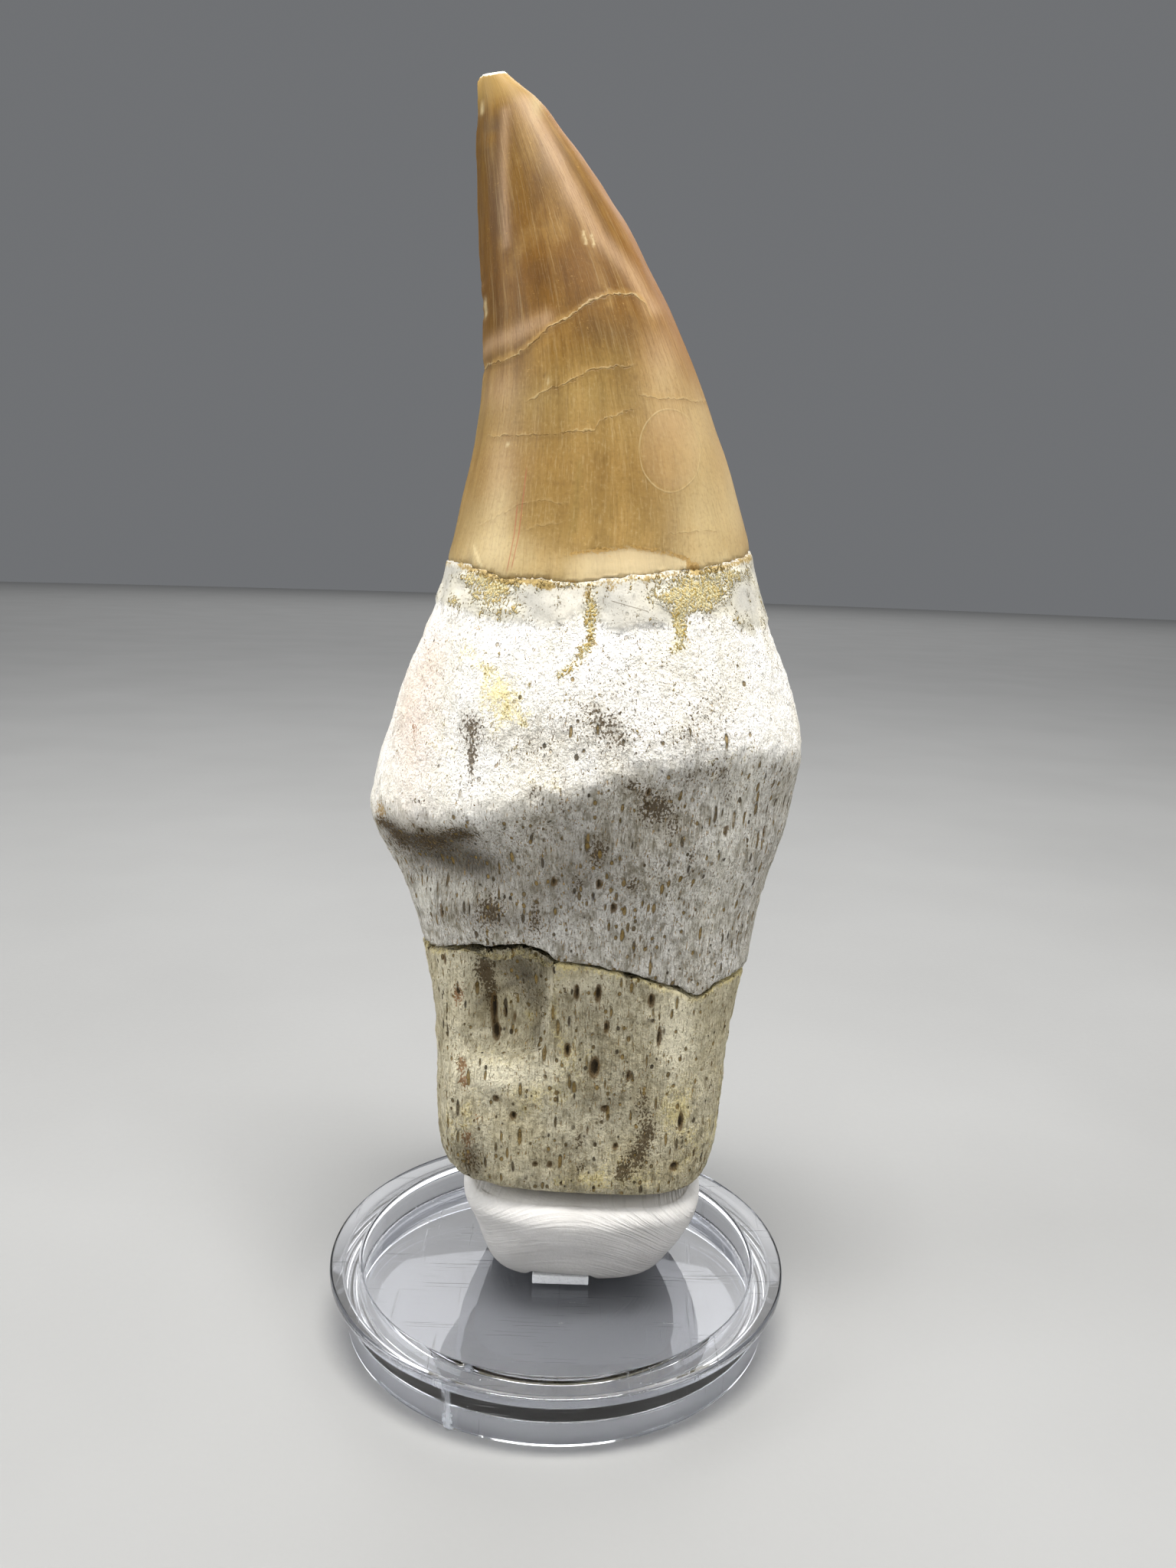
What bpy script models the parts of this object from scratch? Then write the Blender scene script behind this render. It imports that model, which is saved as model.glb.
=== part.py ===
"""A rooted fossil tooth, broken through its root and refitted, held upright by putty on a clear round stand.

The front of the tooth faces -Y, its tip points up along +Z, and the origin is the middle of the stand's foot.
A bearing is an angle round the tooth in degrees: 0 is its front, 90 its right edge and -90 its left edge.
"""

import math
from dataclasses import dataclass

import bmesh
import bpy
import numpy as np
from mathutils import Vector

MM = 0.001
FIT_GAP = 0.3

# Sizes are in millimetres up to the point where a mesh is made

# The stand: a shallow round dish with a flange, on a foot ring
FLANGE_RADIUS = 23.0
FLANGE_UNDERSIDE = 5.1
RIM_TOP = 6.0
RIM_ROUNDING = 0.45
WALL_RADIUS = 21.5
WALL_INNER_RADIUS = 19.8
FOOT_RADIUS = 21.3
FOOT_INNER_RADIUS = 20.4
FLOOR_TOP = 3.2
FLOOR_UNDERSIDE = 2.2
DISH_STEPS = 56

# The tooth: the plane of its front view, its ends and the mesh that carries them
TOOTH_PLANE_Y = 4.7
TIP_HEIGHT = 118.6
TIP_SLOPE = 0.16
ROOT_BOTTOM = 14.9
ROOT_BOTTOM_SLOPE = -0.03
ROOT_BOTTOM_ROUNDING = 1.0
SECTION_POINTS = 52
RING_SPACING = 1.86
MARGIN_HEIGHT = 74.8
ENAMEL_STEP = 0.3
CARINA_LIFT = 0.4
CARINA_SPREAD = 6.0
EDGE_HOLD = 20.0
UNEVENNESS = 0.12

# Front view of the tooth: height, left edge, right edge
OUTLINE = (
    (14.0, -11.2, 14.7),
    (18.0, -12.5, 15.8),
    (24.0, -12.8, 16.3),
    (30.0, -13.2, 16.9),
    (34.0, -13.7, 17.4),
    (38.5, -14.7, 18.5),
    (42.0, -15.7, 19.0),
    (46.0, -17.6, 19.9),
    (49.0, -19.2, 20.8),
    (52.0, -19.7, 21.7),
    (55.0, -19.4, 22.1),
    (59.0, -18.1, 22.2),
    (64.0, -16.7, 21.1),
    (68.0, -15.0, 19.5),
    (72.0, -13.4, 17.7),
    (75.5, -12.6, 16.8),
    (81.0, -11.5, 15.4),
    (88.0, -10.1, 12.8),
    (95.0, -9.7, 9.8),
    (102.0, -10.1, 6.1),
    (109.0, -10.5, 1.6),
    (115.0, -10.6, -3.4),
    (119.0, -10.1, -7.3),
)

# Side view of the tooth: height, reach of the front and of the back from the tooth's own plane
DEPTHS = (
    (14.0, 10.5, 10.3),
    (24.0, 11.4, 11.2),
    (36.0, 12.4, 12.3),
    (45.0, 14.0, 14.3),
    (52.0, 16.4, 16.0),
    (58.0, 16.8, 16.1),
    (66.0, 15.2, 14.7),
    (75.5, 12.9, 12.6),
    (88.0, 10.6, 10.2),
    (102.0, 7.2, 6.8),
    (112.0, 4.2, 3.9),
    (119.0, 1.9, 1.8),
)

# How square a section is: 2 is an ellipse, more is nearer a rounded block
SQUARENESS = (
    (14.0, 3.4),
    (22.0, 3.0),
    (34.0, 2.6),
    (46.0, 2.25),
    (60.0, 2.1),
    (75.0, 2.05),
    (119.0, 1.95),
)

# The lower edge of the enamel: bearing, height
MARGIN = (
    (-180.0, 75.6),
    (-135.0, 75.3),
    (-90.0, 75.3),
    (-58.0, 75.1),
    (-36.0, 74.3),
    (-8.0, 74.1),
    (22.0, 75.1),
    (45.0, 75.9),
    (90.0, 77.2),
    (135.0, 76.4),
    (180.0, 75.6),
)

# The brow where the swollen root turns under, from the low left lobe up to the right edge: bearing, height
BROW = (
    (-180.0, 56.0),
    (-130.0, 53.0),
    (-90.0, 51.4),
    (-64.0, 52.2),
    (-30.0, 53.3),
    (-12.0, 55.4),
    (8.0, 58.4),
    (30.0, 59.6),
    (60.0, 59.0),
    (90.0, 57.5),
    (180.0, 56.0),
)
BROW_LIFT = 0.9
BROW_UNDERCUT = 0.6
BROW_REACH = 2.3

# The break through the root, seen from the front: place across, height
BREAK = (
    (-40.0, 38.3),
    (-13.0, 38.4),
    (-10.5, 39.5),
    (-6.2, 40.2),
    (-4.0, 40.9),
    (-1.7, 40.1),
    (-0.3, 39.2),
    (2.2, 39.1),
    (6.4, 38.2),
    (10.8, 36.5),
    (12.5, 35.4),
    (14.4, 36.5),
    (18.0, 36.9),
    (40.0, 37.4),
)

# The putty, from its foot up: height, middle across, half width, reach to the front, reach to the back
PUTTY_RINGS = (
    (3.5, 1.7, 8.2, 7.0, 7.8),
    (4.2, 1.8, 9.2, 7.7, 8.7),
    (6.4, 2.1, 10.5, 8.9, 9.9),
    (9.4, 2.5, 12.0, 10.2, 10.9),
    (11.8, 2.4, 12.9, 11.0, 11.4),
    (13.8, 2.0, 12.8, 11.0, 11.4),
    (15.0, 2.0, 12.1, 10.2, 10.6),
)
PUTTY_MIDDLE_Y = 4.5
PUTTY_CAGE_POINTS = 16
PUTTY_SQUARENESS = 3.2

# The strip of tape under the putty
TAPE_LEFT = -2.4
TAPE_RIGHT = 3.3
TAPE_FRONT = -2.9
TAPE_BACK = 3.6
TAPE_THICKNESS = 0.9


@dataclass(frozen=True)
class Relief:
    """A lump (lift above 0) or a hollow (below 0) on the side of the tooth."""

    bearing: float
    height: float
    spread: float
    reach: float
    lift: float

    def at(self, bearing, height):
        turn = (bearing - self.bearing + 180.0) % 360.0 - 180.0
        return self.lift * math.exp(-((turn / self.spread) ** 2) - ((height - self.height) / self.reach) ** 2)


RELIEFS = {
    "hollow under the left lobe": Relief(-40.0, 48.2, 24.0, 2.7, -2.1),
    "foot of that hollow": Relief(-60.0, 45.0, 16.0, 2.7, -0.8),
    "rib under that hollow": Relief(-36.0, 43.8, 20.0, 1.6, 0.5),
    "scoop in the root's end": Relief(-27.0, 33.4, 16.0, 4.3, -2.0),
    "lip under the scoop": Relief(-23.0, 27.3, 16.0, 1.6, 0.8),
    "ridge down the left side of the root's end": Relief(-50.0, 27.0, 7.0, 11.0, 0.8),
    "flat on the right side of the root's end": Relief(40.0, 24.0, 24.0, 9.0, -0.5),
    "swelling above the brow": Relief(10.0, 63.0, 45.0, 5.0, 0.4),
    "long hollow down the back": Relief(176.0, 38.0, 24.0, 14.0, -1.3),
    "swelling on the back": Relief(-150.0, 60.0, 26.0, 7.0, 0.6),
    "knob low on the back": Relief(140.0, 24.0, 14.0, 4.0, 0.7),
}


def curve_through(stations, column=1):
    """Return a function that runs smoothly through the stations' first and given columns."""
    places = np.array([station[0] for station in stations])
    values = np.array([station[column] for station in stations])
    slopes = np.gradient(values, places)

    def value_at(place):
        place = min(max(place, places[0]), places[-1])
        index = min(int(np.searchsorted(places, place, side="right")) - 1, len(places) - 2)
        span = places[index + 1] - places[index]
        t = (place - places[index]) / span
        start = values[index] + (place - places[index]) * slopes[index]
        end = values[index + 1] + (place - places[index + 1]) * slopes[index + 1]
        ease = t * t * (3.0 - 2.0 * t)
        return float(start * (1.0 - ease) + end * ease)

    return value_at


left_edge = curve_through(OUTLINE, 1)
right_edge = curve_through(OUTLINE, 2)
front_reach = curve_through(DEPTHS, 1)
back_reach = curve_through(DEPTHS, 2)
squareness = curve_through(SQUARENESS)
margin_height = curve_through(MARGIN)
brow_height = curve_through(BROW)
break_height = curve_through(BREAK)


def rounded_power(value, exponent):
    return math.copysign(abs(value) ** exponent, value)


def bell(distance, width):
    return math.exp(-((distance / width) ** 2))


def surface_lift(bearing, height):
    """How far the surface stands out of the plain section. The outline at both edges already holds its own."""
    side = abs(bearing) - 90.0
    lift = sum(relief.at(bearing, height) for relief in RELIEFS.values())
    below = brow_height(bearing) - height
    lift += BROW_LIFT * bell(below, BROW_REACH) - BROW_UNDERCUT * bell(below - 2.0 * BROW_REACH, BROW_REACH)
    lift += UNEVENNESS * math.sin(math.radians(3.0 * bearing) + 0.21 * height) * math.sin(0.33 * height)
    lift *= 1.0 - bell(side, EDGE_HOLD)
    above_margin = height - margin_height(bearing)
    if above_margin > 0.0:
        lift *= max(0.0, 1.0 - above_margin / 6.0)
        lift -= CARINA_LIFT * (1.0 - bell(side, CARINA_SPREAD)) * min(1.0, above_margin / 4.0)
    else:
        lift -= ENAMEL_STEP * max(0.0, 1.0 + above_margin / 5.0)
    return lift


def tooth_point(bearing, ring_height, inset=0.0):
    """Return the point of the tooth's surface at a bearing on one ring."""
    angle = math.radians(bearing)
    left = left_edge(ring_height)
    right = right_edge(ring_height)
    across = (left + right) / 2.0 + (right - left) / 2.0 * math.sin(angle)

    height = ring_height
    height += (margin_height(bearing) - MARGIN_HEIGHT) * bell(ring_height - MARGIN_HEIGHT, 6.0)
    height += ROOT_BOTTOM_SLOPE * across * max(0.0, 1.0 - (ring_height - ROOT_BOTTOM) / 9.0)
    tip_middle = (left_edge(TIP_HEIGHT) + right_edge(TIP_HEIGHT)) / 2.0
    height += TIP_SLOPE * (across - tip_middle) * bell(ring_height - TIP_HEIGHT, 2.0)

    left = left_edge(height)
    right = right_edge(height)
    reach = front_reach(height) if math.cos(angle) > 0.0 else back_reach(height)
    power = 2.0 / squareness(height)
    middle = Vector(((left + right) / 2.0, TOOTH_PLANE_Y, height))
    offset = Vector((
        (right - left) / 2.0 * rounded_power(math.sin(angle), power),
        -reach * rounded_power(math.cos(angle), power),
        0.0,
    ))
    length = offset.length
    return middle + offset * ((length + surface_lift(bearing, height) - inset) / length)


def ring_heights():
    """Return each ring's height and inset, from the broken root end up to the worn tip."""
    bottom_edge = ROOT_BOTTOM + ROOT_BOTTOM_ROUNDING
    margin_low = MARGIN_HEIGHT - 0.25
    margin_high = MARGIN_HEIGHT + 0.25
    corner = 0.3 * ROOT_BOTTOM_ROUNDING
    rings = [(ROOT_BOTTOM, ROOT_BOTTOM_ROUNDING), (ROOT_BOTTOM + corner, corner)]
    for low, high in ((bottom_edge, margin_low), (margin_high, TIP_HEIGHT - 0.5)):
        count = round((high - low) / RING_SPACING)
        rings += [(low + (high - low) * step / count, 0.0) for step in range(count + 1)]
    rings.append((TIP_HEIGHT - 0.1, 0.15))
    rings.append((TIP_HEIGHT, 0.45))
    return rings


def principled(name, colour, roughness, transmission=0.0, ior=1.5):
    """Return a plain Principled material."""
    material = bpy.data.materials.new(name)
    material.use_nodes = True
    shader = material.node_tree.nodes["Principled BSDF"]
    shader.inputs["Base Color"].default_value = (*colour, 1.0)
    shader.inputs["Roughness"].default_value = roughness
    shader.inputs["Metallic"].default_value = 0.0
    shader.inputs["Transmission Weight"].default_value = transmission
    shader.inputs["IOR"].default_value = ior
    return material


def new_object(name, bm, collection, materials):
    """Turn a bmesh made in millimetres into an object of the collection."""
    bmesh.ops.scale(bm, verts=bm.verts, vec=(MM, MM, MM))
    bmesh.ops.recalc_face_normals(bm, faces=bm.faces)
    mesh = bpy.data.meshes.new(name)
    bm.to_mesh(mesh)
    bm.free()
    for material in materials:
        mesh.materials.append(material)
    mesh.shade_smooth()
    mesh.set_sharp_from_angle(angle=math.radians(40.0))
    thing = bpy.data.objects.new(name, mesh)
    collection.objects.link(thing)
    return thing


def loft(rings):
    """Return a closed bmesh that joins rings of points and ends in a fan over each end."""
    bm = bmesh.new()
    loops = [[bm.verts.new(point) for point in ring] for ring in rings]
    count = len(loops[0])
    for lower, upper in zip(loops, loops[1:]):
        for index in range(count):
            after = (index + 1) % count
            bm.faces.new((lower[index], lower[after], upper[after], upper[index]))
    ends = [bm.faces.new(reversed(loops[0])), bm.faces.new(loops[-1])]
    bmesh.ops.poke(bm, faces=ends)
    return bm


def tooth_loft(clearance=0.0, top=TIP_HEIGHT):
    """Return the whole tooth, or its lower end made larger by a clearance."""
    bearings = [-180.0 + 360.0 * index / SECTION_POINTS for index in range(SECTION_POINTS)]
    rings = []
    for height, inset in ring_heights():
        if height <= top:
            ring = [tooth_point(bearing, height, inset - clearance) for bearing in bearings]
            rings.append([point - Vector((0.0, 0.0, clearance)) for point in ring])
    return loft(rings)


def cutter(thing):
    """Mark an object as a tool that isn't part of the model."""
    thing.hide_render = True
    thing.display_type = "WIRE"
    return thing


def cut(thing, tool):
    """Take a tool's space out of an object."""
    modifier = thing.modifiers.new(tool.name, "BOOLEAN")
    modifier.operation = "DIFFERENCE"
    modifier.solver = "EXACT"
    modifier.object = tool


def break_block(name, upwards, collection):
    """Return a block whose one face is the break through the root; it fills the space above or below it."""
    shift = -FIT_GAP / 2.0 if upwards else FIT_GAP / 2.0
    far = TIP_HEIGHT + 20.0 if upwards else -20.0
    edge = [(station[0], break_height(station[0]) + shift) for station in BREAK]
    points = edge + [(BREAK[-1][0], far), (BREAK[0][0], far)]
    curve = bpy.data.curves.new(name, "CURVE")
    curve.dimensions = "2D"
    curve.fill_mode = "BOTH"
    curve.extrude = 40.0 * MM
    spline = curve.splines.new("POLY")
    spline.points.add(len(points) - 1)
    for point, (across, height) in zip(spline.points, points):
        point.co = (across * MM, height * MM, 0.0, 1.0)
    spline.use_cyclic_u = True
    outline = bpy.data.objects.new(name + "_outline", curve)
    outline.rotation_euler = (math.pi / 2.0, 0.0, 0.0)
    collection.objects.link(outline)
    bpy.context.view_layer.update()

    evaluated = outline.evaluated_get(bpy.context.evaluated_depsgraph_get())
    mesh = bpy.data.meshes.new_from_object(evaluated)
    bm = bmesh.new()
    bm.from_mesh(mesh)
    bmesh.ops.remove_doubles(bm, verts=bm.verts, dist=0.00001)
    bmesh.ops.recalc_face_normals(bm, faces=bm.faces)
    bm.to_mesh(mesh)
    bm.free()
    block = bpy.data.objects.new(name, mesh)
    block.matrix_world = outline.matrix_world
    collection.objects.link(block)
    bpy.data.objects.remove(outline)
    return cutter(block)


def paint_crown(thing):
    """Give the faces above the enamel's lower edge the second material slot."""
    for polygon in thing.data.polygons:
        offset = polygon.center / MM - Vector((0.0, TOOTH_PLANE_Y, 0.0))
        bearing = math.degrees(math.atan2(offset.x, -offset.y))
        polygon.material_index = int(offset.z > margin_height(bearing))


def make_fragments(parts, tools):
    """Make the two fragments of the tooth, parted by the break through the root."""
    bone = principled("bone", (0.77, 0.70, 0.55), 0.85)
    enamel = principled("enamel", (0.60, 0.38, 0.16), 0.3)
    weathered = principled("weathered_bone", (0.70, 0.62, 0.42), 0.88)

    tooth = new_object("tooth", tooth_loft(), parts, (bone, enamel))
    paint_crown(tooth)
    cut(tooth, break_block("space_below_break", False, tools))

    root_end = new_object("root_end", tooth_loft(), parts, (weathered,))
    cut(root_end, break_block("space_above_break", True, tools))


def make_tape_pad(parts, tools):
    """Make the strip of tape, and return the space that it needs under the putty."""
    solids = []
    for name, collection, grow in (("tape_pad", parts, 0.0), ("tape_space", tools, FIT_GAP)):
        low = Vector((TAPE_LEFT - grow, TAPE_FRONT - grow, FLOOR_TOP + FIT_GAP - 4.0 * grow))
        high = Vector((TAPE_RIGHT + grow, TAPE_BACK + grow, FLOOR_TOP + FIT_GAP + TAPE_THICKNESS + grow))
        bm = bmesh.new()
        bmesh.ops.create_cube(bm, size=1.0)
        bmesh.ops.scale(bm, verts=bm.verts, vec=high - low)
        bmesh.ops.translate(bm, verts=bm.verts, vec=(low + high) / 2.0)
        tape = principled(name, (0.82, 0.85, 0.92), 0.6)
        solids.append(new_object(name, bm, collection, (tape,)))
    return cutter(solids[1])


def make_putty(parts, tools, tape_space):
    """Make the lump of putty: a soft form round the seat of the root, over the tape."""
    bm = bmesh.new()
    ring = bmesh.ops.create_circle(bm, segments=PUTTY_CAGE_POINTS, radius=1.0)["verts"]
    loops = [ring]
    edges = list(bm.edges)
    for _ in PUTTY_RINGS[1:]:
        grown = bmesh.ops.extrude_edge_only(bm, edges=edges)["geom"]
        edges = [piece for piece in grown if isinstance(piece, bmesh.types.BMEdge)]
        loops.append([piece for piece in grown if isinstance(piece, bmesh.types.BMVert)])
    power = 2.0 / PUTTY_SQUARENESS
    for loop, (height, middle, half_width, front, back) in zip(loops, PUTTY_RINGS):
        for vert in loop:
            reach = front if vert.co.y < 0.0 else back
            across = half_width * rounded_power(vert.co.x, power)
            vert.co = (middle + across, PUTTY_MIDDLE_Y + reach * rounded_power(vert.co.y, power), height)
    bmesh.ops.holes_fill(bm, edges=[edge for edge in bm.edges if edge.is_boundary])
    white = principled("putty", (0.80, 0.77, 0.72), 0.55)
    putty = new_object("putty", bm, parts, (white,))
    soft = putty.modifiers.new("soft", "SUBSURF")
    soft.levels = 1
    soft.render_levels = 1

    seat = new_object("root_seat", tooth_loft(FIT_GAP, ROOT_BOTTOM + 6.0), tools, (white,))
    cut(putty, cutter(seat))
    cut(putty, tape_space)


def dish_profile():
    """Return the half section of the stand as (radius, height), from its floor out to the rim and round."""
    inner_fillet = 1.0
    profile = [(0.0, FLOOR_TOP), (WALL_INNER_RADIUS - inner_fillet, FLOOR_TOP)]
    profile.append((WALL_INNER_RADIUS - 0.3 * inner_fillet, FLOOR_TOP + 0.3 * inner_fillet))
    profile.append((WALL_INNER_RADIUS, FLOOR_TOP + inner_fillet))
    profile.append((WALL_INNER_RADIUS, RIM_TOP - RIM_ROUNDING))
    profile.append((WALL_INNER_RADIUS + 0.3 * RIM_ROUNDING, RIM_TOP - 0.3 * RIM_ROUNDING))
    profile.append((WALL_INNER_RADIUS + RIM_ROUNDING, RIM_TOP))
    profile.append((FLANGE_RADIUS - RIM_ROUNDING, RIM_TOP))
    profile.append((FLANGE_RADIUS - 0.3 * RIM_ROUNDING, RIM_TOP - 0.3 * RIM_ROUNDING))
    profile.append((FLANGE_RADIUS, RIM_TOP - RIM_ROUNDING))
    profile.append((FLANGE_RADIUS, FLANGE_UNDERSIDE))
    profile.append((WALL_RADIUS, FLANGE_UNDERSIDE))
    profile.append((FOOT_RADIUS, 0.0))
    profile.append((FOOT_INNER_RADIUS, 0.0))
    profile.append((FOOT_INNER_RADIUS - 0.4, FLOOR_UNDERSIDE))
    profile.append((0.0, FLOOR_UNDERSIDE))
    return profile


def make_dish(parts):
    """Make the clear stand, a turned shape."""
    profile = dish_profile()
    mesh = bpy.data.meshes.new("dish")
    points = [(radius * MM, 0.0, height * MM) for radius, height in profile]
    mesh.from_pydata(points, [(index, index + 1) for index in range(len(points) - 1)], [])
    mesh.materials.append(principled("clear_plastic", (0.93, 0.95, 1.0), 0.04, transmission=1.0, ior=1.49))
    dish = bpy.data.objects.new("dish", mesh)
    parts.objects.link(dish)
    turn = dish.modifiers.new("turn", "SCREW")
    turn.steps = DISH_STEPS
    turn.render_steps = DISH_STEPS
    turn.use_merge_vertices = True
    turn.merge_threshold = 0.00001
    turn.use_smooth_shade = True


def main():
    for thing in list(bpy.data.objects):
        bpy.data.objects.remove(thing)
    parts = bpy.data.collections.new("fossil_tooth_on_stand")
    tools = bpy.data.collections.new("cutters")
    for collection in (parts, tools):
        bpy.context.scene.collection.children.link(collection)

    make_dish(parts)
    tape_space = make_tape_pad(parts, tools)
    make_putty(parts, tools, tape_space)
    make_fragments(parts, tools)


main()
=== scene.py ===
"""The finish of a rooted fossil tooth on a clear round stand, around the fixed frame of its solids, with some
light and shade painted into its colours.

Lengths are in millimetres in the classes below, and become metres where a mesh is written. The front of the
tooth faces -Y. A place on the front is given by how far across (+X is right) and how high it is. A bearing is
an angle round the tooth in degrees: 0 is its front, 90 its right edge and -90 its left edge.
"""

import itertools
import logging
import math
from dataclasses import dataclass
from enum import Enum
from typing import Any, Optional, Sequence, Union

import bmesh
import bpy
import numpy as np
from mathutils import Matrix, Vector


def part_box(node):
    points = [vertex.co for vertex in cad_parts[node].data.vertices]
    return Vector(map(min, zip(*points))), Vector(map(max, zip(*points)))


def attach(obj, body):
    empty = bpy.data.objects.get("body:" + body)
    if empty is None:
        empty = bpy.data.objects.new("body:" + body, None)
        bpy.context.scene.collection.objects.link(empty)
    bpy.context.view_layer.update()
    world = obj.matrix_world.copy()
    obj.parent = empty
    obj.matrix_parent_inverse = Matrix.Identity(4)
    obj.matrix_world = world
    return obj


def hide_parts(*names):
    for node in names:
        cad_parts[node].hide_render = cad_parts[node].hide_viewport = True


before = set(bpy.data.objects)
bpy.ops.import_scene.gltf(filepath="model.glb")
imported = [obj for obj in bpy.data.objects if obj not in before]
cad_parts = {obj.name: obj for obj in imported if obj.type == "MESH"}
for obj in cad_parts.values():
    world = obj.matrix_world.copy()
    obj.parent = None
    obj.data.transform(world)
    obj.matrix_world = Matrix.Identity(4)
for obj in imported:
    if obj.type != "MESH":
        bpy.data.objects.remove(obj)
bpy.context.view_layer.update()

LOG = logging.getLogger("fossil_tooth")
MM = 0.001
BODY = "root"

# The plane of the tooth's front view, and the heights that its parts share
TOOTH_PLANE_Y = 4.7
MARGIN_SEED = 11
TIP_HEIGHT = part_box("tooth")[1][2] / MM
ROOT_FOOT_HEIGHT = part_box("root_end")[0][2] / MM

Colour = tuple[float, float, float]
Size = tuple[float, float, float]
Place = tuple[float, float]

# The lower edge of the enamel: bearing, height
MARGIN: tuple[Place, ...] = (
    (-180.0, 75.6), (-135.0, 75.3), (-90.0, 75.3), (-58.0, 75.1), (-45.0, 74.6), (-36.0, 74.0), (-8.0, 73.8),
    (22.0, 74.9), (38.0, 75.4), (60.0, 76.3), (90.0, 77.2), (135.0, 76.4), (180.0, 75.6),
)
# The brow where the swollen root turns under: bearing, height
BROW: tuple[Place, ...] = (
    (-180.0, 56.0), (-130.0, 53.0), (-90.0, 51.4), (-64.0, 52.2), (-30.0, 53.3), (-12.0, 55.4), (8.0, 58.4),
    (30.0, 59.6), (60.0, 59.0), (90.0, 57.5), (180.0, 56.0),
)
# The torn lower edge of the collar under the enamel: bearing, height
COLLAR: tuple[Place, ...] = (
    (-180.0, 71.0), (-90.0, 71.4), (-57.0, 71.0), (-35.0, 70.0), (-19.0, 70.1), (-7.0, 70.9), (6.0, 69.8),
    (21.0, 70.9), (31.0, 71.3), (44.0, 71.1), (53.0, 69.8), (90.0, 70.6), (135.0, 71.6), (180.0, 71.0),
)
# The break through the root: place across, height
BREAK: tuple[Place, ...] = (
    (-40.0, 38.3), (-13.0, 38.4), (-10.5, 39.5), (-6.2, 40.2), (-4.0, 40.9), (-1.7, 40.1), (-0.3, 39.2),
    (2.2, 39.1), (6.4, 38.2), (10.8, 36.5), (12.5, 35.4), (14.4, 36.5), (18.0, 36.9), (40.0, 37.4),
)
# The upper edge of the flaked band of enamel, on the front: place across, height
FLAKE: tuple[Place, ...] = (
    (-1.8, 74.3), (-0.9, 75.4), (-0.4, 76.2), (1.5, 76.5), (3.2, 76.7), (4.7, 76.9), (6.2, 76.7), (7.9, 76.5),
    (9.7, 76.1), (10.0, 75.0),
)


def from_hex(code: str) -> Colour:
    """Return the linear colour of a six-digit code.

    Args:
        code: The colour as rrggbb, as a screen shows it.

    Returns:
        Red, green and blue from 0 to 1, linear.
    """
    screen = [int(code[start:start + 2], 16) / 255.0 for start in (0, 2, 4)]
    linear = [part / 12.92 if part <= 0.04045 else ((part + 0.055) / 1.055) ** 2.4 for part in screen]
    return (linear[0], linear[1], linear[2])


def ease(values: np.ndarray, low: float, high: float) -> np.ndarray:
    """Return a smooth step from 0 at low to 1 at high."""
    part = np.clip((values - low) / (high - low), 0.0, 1.0)
    return part * part * (3.0 - 2.0 * part)


def bell(values: np.ndarray, width: float) -> np.ndarray:
    """Return a soft bump that is 1 at zero and fades over a width."""
    return np.exp(-((values / width) ** 2))


def along(stations: Sequence[Place], values: np.ndarray) -> np.ndarray:
    """Return the height of a line of stations at each value."""
    return np.interp(values, [place for place, _ in stations], [height for _, height in stations])


def over_margin(points: np.ndarray, bearing: np.ndarray) -> np.ndarray:
    """Return how high each point is over the enamel's lower edge, which wavers a little.

    Args:
        points: The points, one to a row.
        bearing: The bearing of each.

    Returns:
        A height for each point, less than 0 on the bone below the edge.
    """
    grain = Grain(MARGIN_SEED)
    waver = 0.22 * grain.rough(points, 1.6) + 0.10 * grain.smooth(points, 0.5)
    return points[:, 2] - along(MARGIN, bearing) + waver


def front_side(points: np.ndarray) -> np.ndarray:
    """Return 1 for points on the front of the tooth and 0 on its back."""
    return ease(TOOTH_PLANE_Y - points[:, 1], -2.0, 2.0)


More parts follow.
